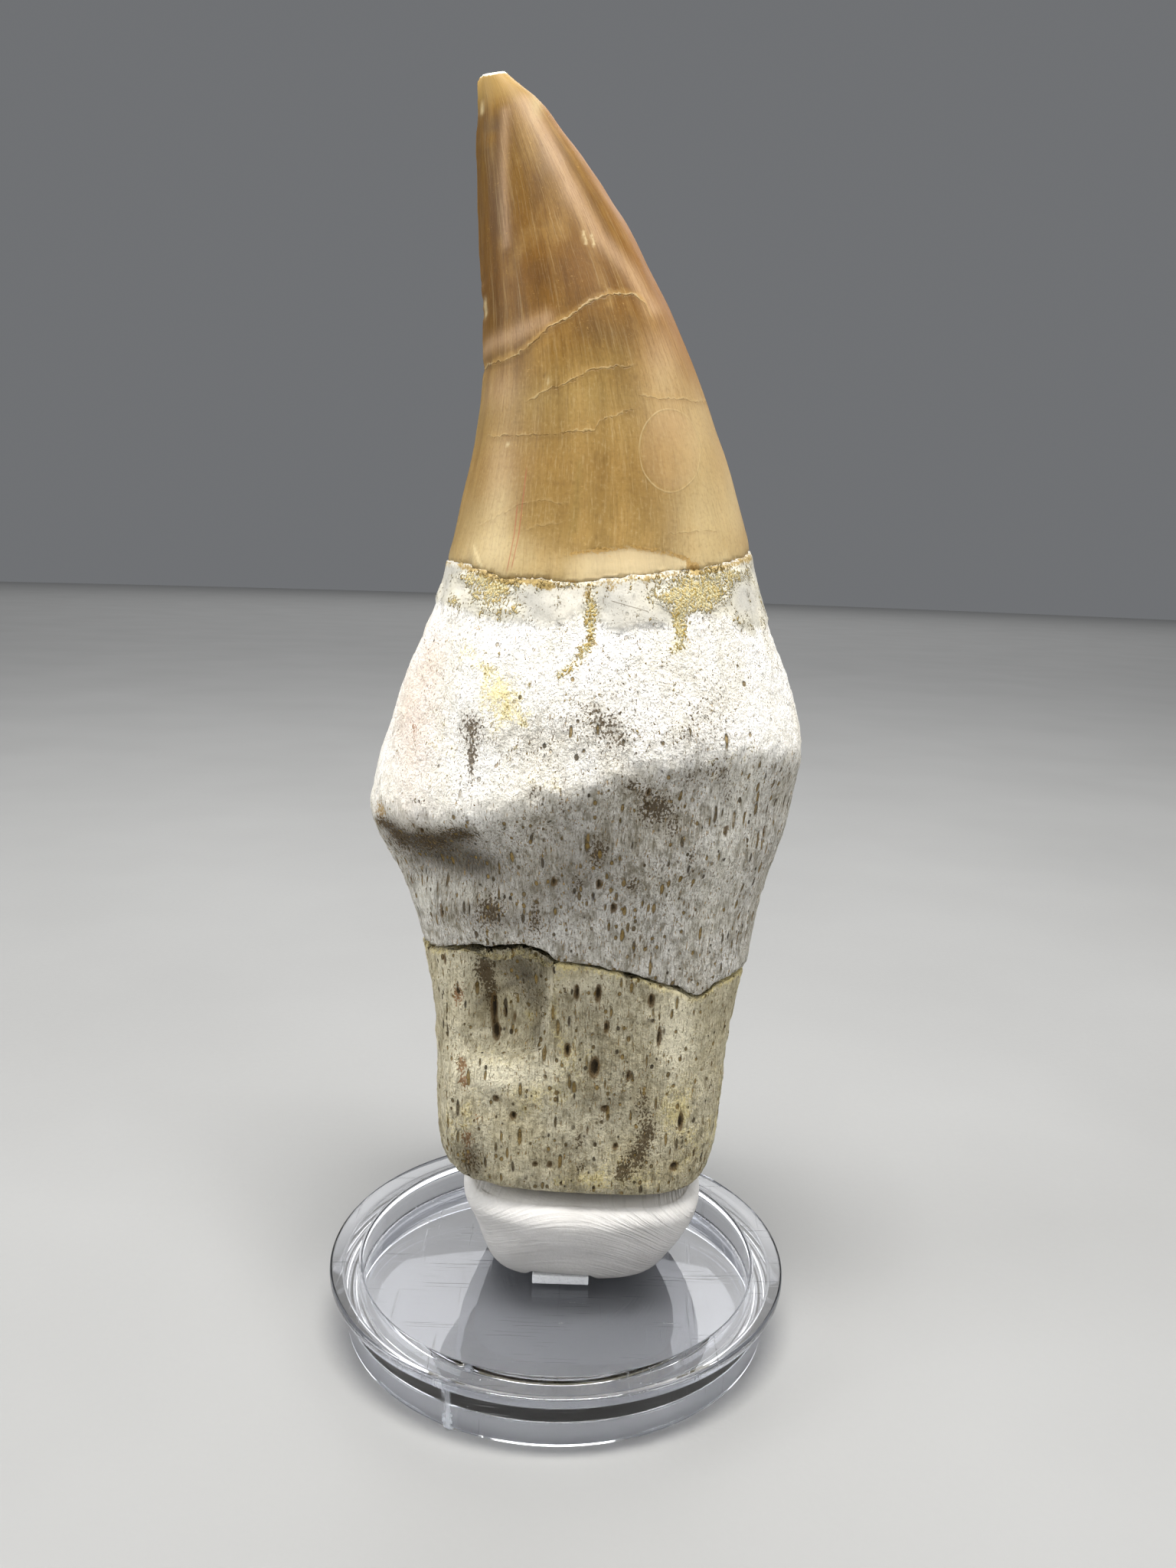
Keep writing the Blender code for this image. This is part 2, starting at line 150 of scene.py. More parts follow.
class Grain:
    """Repeatable noise and pits, worked out for a whole array of points at once."""

    def __init__(self, seed: int) -> None:
        """Keep the seed that every value follows."""
        self.seed = seed

    def _scatter(self, cells: np.ndarray, channel: int) -> np.ndarray:
        """Mix each cell's three whole numbers and the seed into a number that looks random.

        Args:
            cells: The cells, one to a row.
            channel: Which of a cell's numbers to give.

        Returns:
            A number from 0 to 1 for each cell.
        """
        mixed = (cells[:, 0] * 73856093) ^ (cells[:, 1] * 19349663) ^ (cells[:, 2] * 83492791)
        mixed = (mixed + self.seed * 2654435761 + channel * 97531) & 0xFFFFFFFF
        for _ in range(2):
            mixed = ((mixed ^ (mixed >> 16)) * 0x45D9F3B) & 0xFFFFFFFF
        return (mixed ^ (mixed >> 16)) / 0xFFFFFFFF

    def smooth(self, points: np.ndarray, size: float) -> np.ndarray:
        """Return soft noise.

        Args:
            points: The points, one to a row.
            size: The size of a lump.

        Returns:
            A value from -1 to 1 for each point.
        """
        scaled = points / size
        base = np.floor(scaled).astype(np.int64)
        part = scaled - base
        part = part * part * (3.0 - 2.0 * part)
        total = np.zeros(len(points))
        for corner in itertools.product((0, 1), repeat=3):
            weight = np.prod(np.where(corner, part, 1.0 - part), axis=1)
            total += weight * self._scatter(base + np.array(corner), 0)
        return 2.0 * total - 1.0

    def rough(self, points: np.ndarray, size: float, layers: int = 3) -> np.ndarray:
        """Return noise of several sizes, each half the last and half as strong."""
        total = sum(self.smooth(points + 7.3 * layer, size / 2**layer) / 2**layer for layer in range(layers))
        return total / (2.0 - 0.5 ** (layers - 1))

    def pits(self, points: np.ndarray, size: Size, share: float) -> np.ndarray:
        """Return how deep each point lies in a scatter of soft pits.

        Args:
            points: The points, one to a row.
            size: The spacing of the pits along each axis, which also gives a pit its shape.
            share: The share of the places that hold a pit.

        Returns:
            A depth from 0 to 1 for each point.
        """
        scaled = points / np.asarray(size)
        base = np.floor(scaled).astype(np.int64)
        deepest = np.zeros(len(points))
        for step in itertools.product((-1, 0, 1), repeat=3):
            cell = base + np.array(step)
            centre = cell + 0.2 + 0.6 * np.stack([self._scatter(cell, axis) for axis in (1, 2, 3)], axis=1)
            reach = 0.22 + 0.26 * self._scatter(cell, 4)
            depth = 1.0 - np.linalg.norm(scaled - centre, axis=1) / reach
            depth *= self._scatter(cell, 5) < share
            deepest = np.maximum(deepest, depth)
        return ease(deepest, 0.0, 0.7)


@dataclass(frozen=True)
class Spot:
    """A soft oval place on the front of the tooth."""

    across: float
    height: float
    half_width: float
    half_height: float
    strength: float = 1.0

    def at(self, points: np.ndarray) -> np.ndarray:
        """Return the spot's strength, which fades outwards from its middle.

        Args:
            points: The points, one to a row.

        Returns:
            The strength at each point.
        """
        sideways = (points[:, 0] - self.across) / self.half_width
        upwards = (points[:, 2] - self.height) / self.half_height
        return self.strength * np.exp(-(sideways**2) - upwards**2) * front_side(points)


@dataclass(frozen=True)
class Trail:
    """A soft line on the front of the tooth through a few places."""

    places: tuple[Place, ...]
    half_width: float
    strength: float = 1.0

    def at(self, points: np.ndarray) -> np.ndarray:
        """Return the trail's strength, which fades away from its line.

        Args:
            points: The points, one to a row.

        Returns:
            The strength at each point.
        """
        flat = points[:, (0, 2)]
        nearest = np.full(len(points), np.inf)
        for start, end in zip(self.places, self.places[1:]):
            first = np.array(start)
            span = np.array(end) - first
            part = np.clip((flat - first) @ span / (span @ span), 0.0, 1.0)
            nearest = np.minimum(nearest, np.linalg.norm(flat - first - part[:, None] * span, axis=1))
        return self.strength * bell(nearest, self.half_width) * front_side(points)


Mark = Union[Spot, Trail]


def marked(marks: Sequence[Mark], points: np.ndarray) -> np.ndarray:
    """Return the sum of several marks at each point."""
    return sum((mark.at(points) for mark in marks), np.zeros(len(points)))


class Signal:
    """A shader socket that can stand in an expression."""

    def __init__(self, graph: "Graph", socket: bpy.types.NodeSocket) -> None:
        """Keep the socket and the graph that new nodes go to."""
        self.graph = graph
        self.socket = socket

    def maths(self, operation: str, *others: "Number") -> "Signal":
        """Return a Math node's result with this signal first."""
        inputs = dict(enumerate((self, *others)))
        return self.graph.node("ShaderNodeMath", {"operation": operation}, inputs)

    def __add__(self, other: "Number") -> "Signal":
        """Return the sum."""
        return self.maths("ADD", other)

    def __radd__(self, other: "Number") -> "Signal":
        """Return the sum."""
        return self.maths("ADD", other)

    def __sub__(self, other: "Number") -> "Signal":
        """Return the difference."""
        return self.maths("SUBTRACT", other)

    def __rsub__(self, other: float) -> "Signal":
        """Return a number less this signal."""
        return self.graph.node("ShaderNodeMath", {"operation": "SUBTRACT"}, {0: other, 1: self})

    def __mul__(self, other: "Number") -> "Signal":
        """Return the product."""
        return self.maths("MULTIPLY", other)

    def __rmul__(self, other: "Number") -> "Signal":
        """Return the product."""
        return self.maths("MULTIPLY", other)

    def __truediv__(self, other: "Number") -> "Signal":
        """Return the quotient."""
        return self.maths("DIVIDE", other)

    def __abs__(self) -> "Signal":
        """Return the size without the sign."""
        return self.maths("ABSOLUTE")

    def step(self, low: float, high: float) -> "Signal":
        """Return a smooth step from 0 at low to 1 at high, which may be the smaller of the two."""
        values = {"Value": self, "From Min": low, "From Max": high, "To Min": 0.0, "To Max": 1.0}
        return self.graph.node("ShaderNodeMapRange", {"interpolation_type": "SMOOTHSTEP"}, values)


Number = Union[float, Signal]
Tint = Union[str, Signal]


class Graph:
    """A material's nodes, written as expressions on object coordinates in millimetres.

    A tone is written as its six-digit code. The colour and the relief are built up layer by layer.
    """

    colour: Signal
    relief: Signal
    region: Signal

    def __init__(self, name: str) -> None:
        """Start a material with the coordinates and nothing else.

        Args:
            name: The material's name.
        """
        self.material = bpy.data.materials.new(name)
        self.material.use_nodes = True
        self.tree = self.material.node_tree
        self.tree.nodes.clear()
        place = self.node("ShaderNodeTexCoord", output="Object")
        self.place = self.node("ShaderNodeVectorMath", {"operation": "SCALE"}, {0: place, "Scale": 1.0 / MM})
        parts = [self.node("ShaderNodeSeparateXYZ", {}, {0: self.place}, output=axis) for axis in range(3)]
        self.across, self.depth, self.height = parts
        self.front = self.depth.step(TOOTH_PLANE_Y + 0.5, TOOTH_PLANE_Y - 0.5)

    def node(
        self,
        kind: str,
        settings: Optional[dict[str, Any]] = None,
        inputs: Optional[dict[Union[str, int], Any]] = None,
        output: Union[str, int] = 0,
    ) -> Signal:
        """Add any node.

        Args:
            kind: The node's type.
            settings: Its own settings, which are set before its sockets. stops fills a ramp or a curve.
            inputs: The values, tones or signals of its sockets, by name or number.
            output: The output to return.

        Returns:
            The signal of that output.
        """
        made = self.tree.nodes.new(kind)
        for name, value in (settings or {}).items():
            if name == "stops":
                self._fill(made, value)
            else:
                setattr(made, name, value)
        for key, value in (inputs or {}).items():
            if isinstance(value, Signal):
                self.tree.links.new(value.socket, made.inputs[key])
            else:
                made.inputs[key].default_value = (*from_hex(value), 1.0) if isinstance(value, str) else value
        return Signal(self, made.outputs[output])

    @staticmethod
    def _fill(made: bpy.types.Node, stops: Sequence[tuple[float, Any]]) -> None:
        """Write a colour ramp's stops, or a float curve's points.

        Args:
            made: The ramp or the curve.
            stops: Each place with its tone, or with its value.
        """
        if made.bl_idname == "ShaderNodeValToRGB":
            elements = made.color_ramp.elements
            while len(elements) < len(stops):
                elements.new(0.5)
            for element, (position, tone) in zip(elements, stops):
                element.position = position
                element.color = (*from_hex(tone), 1.0)
            return
        points = made.mapping.curves[0].points
        while len(points) < len(stops):
            points.new(0.5, 0.5)
        for point, stop in zip(points, stops):
            point.location = stop
            point.handle_type = "VECTOR"
        made.mapping.update()

    def scaled(self, size: Size, source: Optional[Signal] = None) -> Signal:
        """Return coordinates divided by a size for each axis."""
        scale = tuple(1.0 / part for part in size)
        return self.node("ShaderNodeMapping", {}, {"Vector": source or self.place, "Scale": scale})

    def noise(self, size: Size, detail: float = 3.0, source: Optional[Signal] = None) -> Signal:
        """Return noise from 0 to 1 with lumps of a size for each axis."""
        values = {"Vector": self.scaled(size, source), "Scale": 1.0, "Detail": detail, "Roughness": 0.5}
        return self.node("ShaderNodeTexNoise", {}, values)

    def scatter(self, size: Size) -> tuple[Signal, list[Signal]]:
        """Scatter centres through space.

        Args:
            size: Their spacing along each axis.

        Returns:
            The distance to the nearest centre, and three chances that belong to that centre.
        """
        values = {"Vector": self.scaled(size), "Scale": 1.0, "Randomness": 1.0}
        distance = self.node("ShaderNodeTexVoronoi", {}, values, "Distance")
        colour = Signal(self, distance.socket.node.outputs["Color"])
        chances = [self.node("ShaderNodeSeparateColor", {}, {0: colour}, output=part) for part in range(3)]
        return distance, chances

    def attribute(self, name: str) -> Signal:
        """Return a number that the mesh holds at each point."""
        return self.node("ShaderNodeAttribute", {"attribute_name": name}, output="Fac")

    def vector(self, name: str) -> Signal:
        """Return a vector that the mesh holds at each point."""
        return self.node("ShaderNodeAttribute", {"attribute_name": name}, output="Vector")

    def mix(self, factor: Number, first: Tint, second: Tint) -> Signal:
        """Return two colours mixed by a factor."""
        settings = {"data_type": "RGBA", "blend_type": "MIX", "clamp_factor": True}
        return self.node("ShaderNodeMix", settings, {0: factor, 6: first, 7: second}, output=2)

    def over(self, factor: Number, tone: Tint) -> None:
        """Lay a tone over the material's colour by a factor."""
        self.colour = self.mix(factor, self.colour, tone)

    def lay(self, layers: Sequence[tuple[Signal, float, float, float, float, str]]) -> None:
        """Lay tones where a noise is low or high.

        Args:
            layers: For each, the noise, its values where the tone starts and is full, the tone's strength,
                what is added to that in the material's region, and the tone.
        """
        for noise, start, full, strength, added, tone in layers:
            self.over(noise.step(start, full) * (strength + added * self.region), tone)

    def ramp(self, factor: Signal, stops: Sequence[tuple[float, str]]) -> Signal:
        """Return a colour from a ramp of tones."""
        return self.node("ShaderNodeValToRGB", {"stops": stops}, {"Fac": factor})

    def line(self, start: Signal, other: Signal, stations: Sequence[Place]) -> Signal:
        """Return how far a point lies past a line of stations.

        Args:
            start: The coordinate that the line runs along.
            other: The coordinate that the line gives.
            stations: The line's places, with the running coordinate first.

        Returns:
            The second coordinate less the line's own.
        """
        firsts = [place[0] for place in stations]
        seconds = [place[1] for place in stations]
        low, high = min(firsts), max(firsts)
        bottom, top = min(seconds), max(max(seconds), min(seconds) + 0.01)
        stops = [((a - low) / (high - low), (b - bottom) / (top - bottom)) for a, b in stations]
        curve = self.node("ShaderNodeFloatCurve", {"stops": stops}, {"Value": (start - low) / (high - low)})
        return other - (curve * (top - bottom) + bottom)

    def window(self, signal: Signal, low: float, high: float, soft: float) -> Signal:
        """Return 1 between two values and 0 outside them, with soft ends."""
        return signal.step(low - soft, low + soft) * signal.step(high + soft, high - soft)

    def bump(self, height: Signal, depth: float) -> Signal:
        """Return a normal bent by a height, which is depth millimetres from 0 to 1."""
        return self.node("ShaderNodeBump", {}, {"Strength": 1.0, "Distance": depth * MM, "Height": height})

    def shader(self, inputs: dict[Union[str, int], Any]) -> Signal:
        """Return a Principled shader with the given sockets."""
        return self.node("ShaderNodeBsdfPrincipled", {}, inputs)

    def done(self, surface: Signal) -> bpy.types.Material:
        """Join a shader to the material's output.

        Args:
            surface: The shader.

        Returns:
            The finished material.
        """
        output = self.tree.nodes.new("ShaderNodeOutputMaterial")
        self.tree.links.new(surface.socket, output.inputs["Surface"])
        return self.material

    def dressed(self, inputs: dict[Union[str, int], Any]) -> bpy.types.Material:
        """Return the material, with its colour on a Principled shader that has the given sockets."""
        return self.done(self.shader({"Base Color": self.colour, **inputs}))


# How near two points of a solid are when they are welded, in metres
WELD = 1e-6
# The share of the way to its neighbours' mean that a point goes each time
SMOOTH_STEP = 0.5
# The height of the slices that a form's middle is found from
SLICE = 1.0
# How much taller than wide a form's faces are
UPRIGHT = 1.6


def write_values(mesh: bpy.types.Mesh, name: str, values: np.ndarray) -> None:
    """Store a number or a vector at each point of a mesh.

    Args:
        mesh: The mesh.
        name: The attribute's name.
        values: One number, or one row of three, for each point.
    """
    kind, key = ("FLOAT", "value") if values.ndim == 1 else ("FLOAT_VECTOR", "vector")
    mesh.attributes.new(name, kind, "POINT").data.foreach_set(key, values.astype(np.float32).ravel())


def read_rows(mesh: bpy.types.Mesh, what: str) -> np.ndarray:
    """Read a row of three for each point of a mesh.

    Args:
        mesh: The mesh.
        what: What to read: co for the places in metres, or normal.

    Returns:
        The rows.
    """
    flat = np.empty(len(mesh.vertices) * 3, np.float32)
    mesh.vertices.foreach_get(what, flat)
    return flat.reshape(-1, 3).astype(float)


class FineForm:
    """A fine, smooth copy of one of the frame's solids, worked as arrays of points in millimetres."""

    def __init__(self, node: str, voxel: float, cuts: Sequence[tuple[float, bool]] = ()) -> None:
        """Weld a copy of a solid, cut it and give it a fine even mesh.

        Args:
            node: The frame's node.
            voxel: The width of the new mesh's faces, which are longer upwards by UPRIGHT.
            cuts: Heights to cut at, each with whether the part above it stays.
        """
        welded = bmesh.new()
        welded.from_mesh(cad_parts[node].data)
        bmesh.ops.remove_doubles(welded, verts=welded.verts, dist=WELD)
        for height, upper_stays in cuts:
            whole = [*welded.verts, *welded.edges, *welded.faces]
            bmesh.ops.bisect_plane(
                welded, geom=whole, plane_co=(0, 0, height * MM), plane_no=(0, 0, 1),
                clear_inner=upper_stays, clear_outer=not upper_stays,
            )
            bmesh.ops.holes_fill(welded, edges=[edge for edge in welded.edges if edge.is_boundary])
        bmesh.ops.scale(welded, vec=(1.0, 1.0, 1.0 / UPRIGHT), verts=welded.verts)
        mesh = mesh_of(welded, f"{node}_welded")
        source = bpy.data.objects.new(mesh.name, mesh)
        bpy.context.scene.collection.objects.link(source)
        remesh = source.modifiers.new("Fine", "REMESH")
        remesh.mode = "VOXEL"
        remesh.voxel_size = voxel * MM
        evaluated = source.evaluated_get(bpy.context.evaluated_depsgraph_get())
        self.mesh = bpy.data.meshes.new_from_object(evaluated)
        bpy.data.objects.remove(source)
        self.points = read_rows(self.mesh, "co") * (1.0, 1.0, UPRIGHT) / MM
        ends = np.empty(len(self.mesh.edges) * 2, np.int32)
        self.mesh.edges.foreach_get("vertices", ends)
        self.first, self.second = ends.reshape(-1, 2).T

    def smooth(self, turns: int, share: np.ndarray) -> None:
        """Draw each point towards its neighbours' mean.

        Args:
            turns: How many times to do it.
            share: How strongly each point follows, from 0 to 1.
        """
        count = len(self.points)
        near = np.bincount(self.first, minlength=count) + np.bincount(self.second, minlength=count)
        columns = self.points.T.copy()
        for _ in range(turns):
            for column in columns:
                total = np.bincount(self.first, column[self.second], count)
                total += np.bincount(self.second, column[self.first], count)
                column += SMOOTH_STEP * share * (total / near - column)
        self.points = columns.T

    def store(self) -> None:
        """Write the points into the mesh."""
        self.mesh.vertices.foreach_set("co", (self.points * MM).astype(np.float32).ravel())
        self.mesh.update()

    def lift(self, amounts: np.ndarray) -> None:
        """Move each point outwards by its own amount.

        Args:
            amounts: How far each point goes.
        """
        self.store()
        self.points += read_rows(self.mesh, "normal") * amounts[:, None]

    def write(self, values: dict[str, np.ndarray]) -> None:
        """Write what a material reads at each point.

        Args:
            values: Each attribute's name, and a number for each point that is kept from 0 to 1.
        """
        for name, amounts in values.items():
            write_values(self.mesh, name, np.clip(amounts, 0.0, 1.0))

    def bearings(self) -> np.ndarray:
        """Find how far round the form's own middle each point lies.

        Returns:
            A bearing for each point, round the middle of its slice.
        """
        slices = np.floor(self.points[:, 2] / SLICE).astype(int)
        slices -= slices.min()
        levels = np.arange(slices.max() + 1)
        ends = []
        for axis in (0, 1):
            values = self.points[:, axis]
            low = np.array([values[slices == level].min() for level in levels])
            high = np.array([values[slices == level].max() for level in levels])
            ends.append(((low + high) / 2.0, (high - low) / 2.0 + WELD))
        place = (self.points[:, 2] - self.points[:, 2].min()) / SLICE - 0.5
        parts = [
            (self.points[:, axis] - np.interp(place, levels, middle)) / np.interp(place, levels, half)
            for axis, (middle, half) in enumerate(ends)
        ]
        return np.degrees(np.arctan2(parts[0], -parts[1]))

    def piece(self, name: str, material: bpy.types.Material) -> bpy.types.Object:
        """Make the finished form a smooth-shaded object.

        Args:
            name: The piece's name.
            material: Its material.

        Returns:
            The object.
        """
        self.store()
        self.mesh.name = name
        return make_piece(name, self.mesh, material)


def make_piece(name: str, mesh: bpy.types.Mesh, material: bpy.types.Material) -> bpy.types.Object:
    """Return a smooth-shaded object of a mesh with one material, at the origin.

    Args:
        name: The piece's name.
        mesh: Its mesh.
        material: Its material.

    Returns:
        The object, in the scene's collection.
    """
    mesh.materials.clear()
    mesh.materials.append(material)
    mesh.shade_smooth()
    made = bpy.data.objects.new(name, mesh)
    bpy.context.scene.collection.objects.link(made)
    return made


def settle_in(piece: bpy.types.Object, node: str) -> None:
    """Make a piece ride on the body and stand for a node, whose own solid it hides.

    Args:
        piece: The piece.
        node: The frame's node that it stands for.
    """
    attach(piece, BODY)
    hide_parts(node)
    LOG.info("%s: %d points, in place of %s", piece.name, len(piece.data.vertices), node)


def mesh_of(shape: bmesh.types.BMesh, name: str) -> bpy.types.Mesh:
    """Turn a shape into a mesh and let the shape go.

    Args:
        shape: The shape.
        name: The mesh's name.

    Returns:
        The mesh.
    """
    mesh = bpy.data.meshes.new(name)
    shape.to_mesh(mesh)
    shape.free()
    return mesh


# How far the fingers' sweep over the putty rises away from its middle, for each square millimetre
SWEEP = 0.05


class EnamelGraph(Graph):
    """The enamel's nodes, with the noises that its layers share."""

    def __init__(self) -> None:
        """Start the material with its noises, most of which run round the crown."""
        super().__init__("crown_enamel")
        wrap = self.vector("wrap")
        self.bands = self.noise((1.5, 1.5, 26.0), 2.0, wrap)
        self.streaks = self.noise((0.20, 0.20, 6.0), 3.0, wrap)
        self.fine = self.noise((0.11, 0.11, 1.6), 2.0, wrap)
        self.weave = self.noise((0.22, 0.22, 0.3), 3.0, wrap)
        self.rungs = self.noise((9.0, 9.0, 0.35), 2.0, wrap)
        self.clouds = self.noise((3.0, 3.0, 7.0), 4.0)
        self.mottle = self.noise((0.7, 0.7, 1.6))
        self.waver = self.noise((2.2, 2.2, 2.2), 2.0) - 0.5
        self.shiver = self.noise((0.45, 0.45, 0.45), 2.0) - 0.5
        self.upper = self.height.step(86.0, 98.0)
        self.region = self.upper


@dataclass(frozen=True)
class Enamel:
    """The tan, finely striped enamel of the crown, paler towards its base and worn white at the tip."""

    tones: tuple[tuple[float, str], ...] = (
        (73.0, "a8905e"), (76.5, "8c703a"), (84.0, "8f6f37"), (89.5, "937740"), (94.0, "7a5612"),
        (100.0, "714a05"), (111.0, "6e4d06"), (115.5, "7c5810"), (118.4, "a68a46"),
    )
    brown: str = "4e3003"
    amber: str = "8c5a14"
    straw: str = "b08d50"
    cream: str = "cdb98c"
    rose: str = "a05038"
    blush: str = "bd9c78"
    olive: str = "7c6a35"
    horn: str = "efe9d4"
    chalky: str = "d9c8a4"
    dirt: str = "8f6a24"
    cracks: tuple[tuple[Place, ...], ...] = (
        ((-9.6, 93.1), (-7.3, 92.9), (-6.1, 93.1), (-4.4, 94.3), (-3.0, 95.5), (-0.9, 96.7), (0.6, 97.8),
         (2.1, 98.5), (3.3, 98.7), (4.4, 98.9), (5.3, 98.2), (5.8, 97.2)),
        ((-4.7, 89.4), (-2.8, 90.1), (-1.1, 91.0), (1.0, 91.9), (2.3, 92.1), (4.2, 92.4)),
        ((-8.3, 86.5), (-5.7, 86.2), (-3.1, 86.2), (-0.5, 86.6), (1.2, 86.7), (1.6, 87.6), (3.7, 88.4),
         (4.7, 88.8)),
        ((4.9, 90.0), (6.0, 89.9), (8.1, 90.0), (9.9, 90.1), (11.5, 90.6)),
        ((-4.6, 80.4), (-3.0, 80.7), (-1.1, 80.5)),
        ((-4.7, 77.9), (-3.7, 78.4), (-1.3, 78.9)),
        ((7.8, 78.2), (9.8, 78.5), (12.6, 78.8)),
        ((-9.1, 78.2), (-7.2, 79.4), (-4.4, 80.5)),
    )
    crack_strengths: tuple[float, ...] = (1.0, 0.6, 0.55, 0.4, 0.25, 0.25, 0.3, 0.25)
    hairlines: tuple[tuple[Place, ...], ...] = (
        ((74.8, -5.7), (77.6, -5.2), (80.9, -4.9), (83.3, -4.7)),
        ((74.6, -6.1), (77.6, -5.6), (80.2, -5.4)),
    )
    scar: Place = (7.9, 85.4)
    scar_half: Place = (2.8, 3.6)

    def material(self) -> bpy.types.Material:
        """Return the enamel's material.

        Returns:
            The material, which reads what the crown's form holds at each point.
        """
        graph = EnamelGraph()
        self._ground(graph)
        self._stripes(graph)
        for stations, strength in zip(self.cracks, self.crack_strengths):
            self._crack(graph, stations, strength)
        for stations in self.hairlines:
            past = graph.line(graph.height, graph.across, stations)
            inside = graph.window(graph.height, stations[0][0], stations[-1][0], 0.4) * graph.front
            graph.over(abs(past).step(0.08, 0.02) * inside * 0.55, self.rose)
        self._round_scar(graph)
        flake = graph.attribute("flake")
        ragged = self._wear(graph, flake)
        relief = graph.relief + graph.noise((0.8, 0.8, 1.2), 4.0) * 0.25
        return graph.dressed({
            "Roughness": 0.38 + 0.12 * graph.fine + 0.14 * graph.clouds + 0.3 * ragged + 0.12 * flake,
            "IOR": 1.5,
            "Specular IOR Level": 0.24,
            "Subsurface Weight": 0.08,
            "Subsurface Radius": (1.0, 0.6, 0.3),
            "Subsurface Scale": 0.8 * MM,
            "Normal": graph.bump(relief, 0.05),
        })

    def _ground(self, graph: EnamelGraph) -> None:
        """Start the colour with tones that follow the height, wavering a little.

        Args:
            graph: The enamel's nodes.
        """
        low, high = self.tones[0][0], self.tones[-1][0]
        level = (graph.height + graph.noise((8.0, 8.0, 4.0)) * 4.0 - 2.0 - low) / (high - low)
        stops = [((height - low) / (high - low), tone) for height, tone in self.tones]
        graph.colour = graph.ramp(level, stops)

    def _stripes(self, graph: EnamelGraph) -> None:
        """Lay the stains, the side tones, the marks and the fine stripes over the ground; the side tones and
        some of the marks are partly painted shade and painted sheen.

        Args:
            graph: The enamel's nodes.
        """
        graph.lay((
            (graph.clouds, 0.5, 0.32, 0.15, 0.3, self.brown),
            (graph.clouds, 0.52, 0.72, 0.3, 0.0, self.straw),
            (graph.bands, 0.5, 0.3, 0.10, 0.25, self.brown),
            (graph.bands, 0.52, 0.72, 0.2, 0.0, self.straw),
            (graph.mottle, 0.48, 0.3, 0.08, 0.14, self.brown),
            (graph.rungs, 0.5, 0.3, 0.07, 0.0, self.brown),
        ))
        right = graph.attribute("right_side")
        # The left side is darkened, partly as painted shade; the right side is pinkish low down, partly as
        # painted sheen, and amber higher up.
        graph.over(graph.attribute("left_side") * (0.06 + 0.12 * graph.upper), self.brown)
        graph.over(right * (0.35 - 0.35 * graph.upper), self.blush)
        graph.over(right * graph.upper * 0.85, self.amber)
        marks = {"dark": self.brown, "olive": self.olive, "painted_sheen_and_pink": self.blush, "pale": self.cream}
        for name, tone in marks.items():
            graph.over(graph.attribute(name), tone)
        graph.lay((
            (graph.streaks, 0.48, 0.3, 0.07, 0.2, self.brown),
            (graph.streaks, 0.54, 0.74, 0.07, 0.12, self.cream),
            (graph.fine, 0.46, 0.3, 0.16, 0.2, self.brown),
            (graph.fine, 0.56, 0.72, 0.16, -0.1, self.cream),
            (graph.weave, 0.5, 0.3, 0.16, 0.0, self.brown),
            (graph.weave, 0.55, 0.75, 0.14, -0.09, self.cream),
        ))
        graph.relief = graph.streaks * 0.3 + graph.fine * 0.25 + graph.rungs * 0.08

    def _crack(self, graph: EnamelGraph, stations: tuple[Place, ...], strength: float) -> None:
        """Draw one crack across the front: a dark broken line, with a painted highlight on its lip and
        painted shade below it.

        Args:
            graph: The enamel's nodes.
            stations: The crack's places, from left to right.
            strength: How plain it is, from 0 to 1.
        """
        past = graph.line(graph.across, graph.height + graph.waver * 0.9 + graph.shiver * 0.55, stations)
        inside = graph.window(graph.across, stations[0][0], stations[-1][0], 0.6) * graph.front * strength
        worn_away = abs(graph.mottle - 0.55) * 0.9
        rubbed = abs(graph.clouds - 0.5) * 0.7 + abs(graph.mottle - 0.5) * 0.5
        edge = (abs(past + 0.08) + worn_away).step(0.14, 0.05) * inside
        lit = (abs(past - 0.05) + rubbed).step(0.2, 0.04) * inside
        soft = abs(past - 0.1).step(0.55, 0.0) * inside * graph.clouds.step(0.35, 0.6)
        graph.over(soft * 0.4, self.straw)
        # Painted shade just below the crack.
        graph.over(past.step(-0.7, -0.1) * past.step(0.05, -0.05) * inside * 0.3, self.brown)
        graph.over(edge * 0.45, self.brown)
        # Painted highlight on the crack's lit lip.
        graph.over(lit * 0.4, self.cream)
        graph.relief = graph.relief - edge * 0.6 + soft * 0.5 + lit * 0.5

    def _round_scar(self, graph: EnamelGraph) -> None:
        """Draw the faint oval ring on the right of the front.

        Args:
            graph: The enamel's nodes.
        """
        sideways = (graph.across - self.scar[0]) / self.scar_half[0]
        upwards = (graph.height - self.scar[1]) / self.scar_half[1]
        outwards = (sideways * sideways + upwards * upwards).maths("SQRT") + graph.waver * 0.08
        ring = abs(outwards - 1.0).step(0.034, 0.005) * (graph.mottle * 1.6 - 0.2) * graph.front
        graph.over(outwards.step(1.02, 0.86) * graph.front * 0.14, self.blush)
        graph.over(ring * (0.15 + 0.3 * sideways.step(0.4, -0.4)), self.cream)
        graph.relief = graph.relief + ring * 0.45

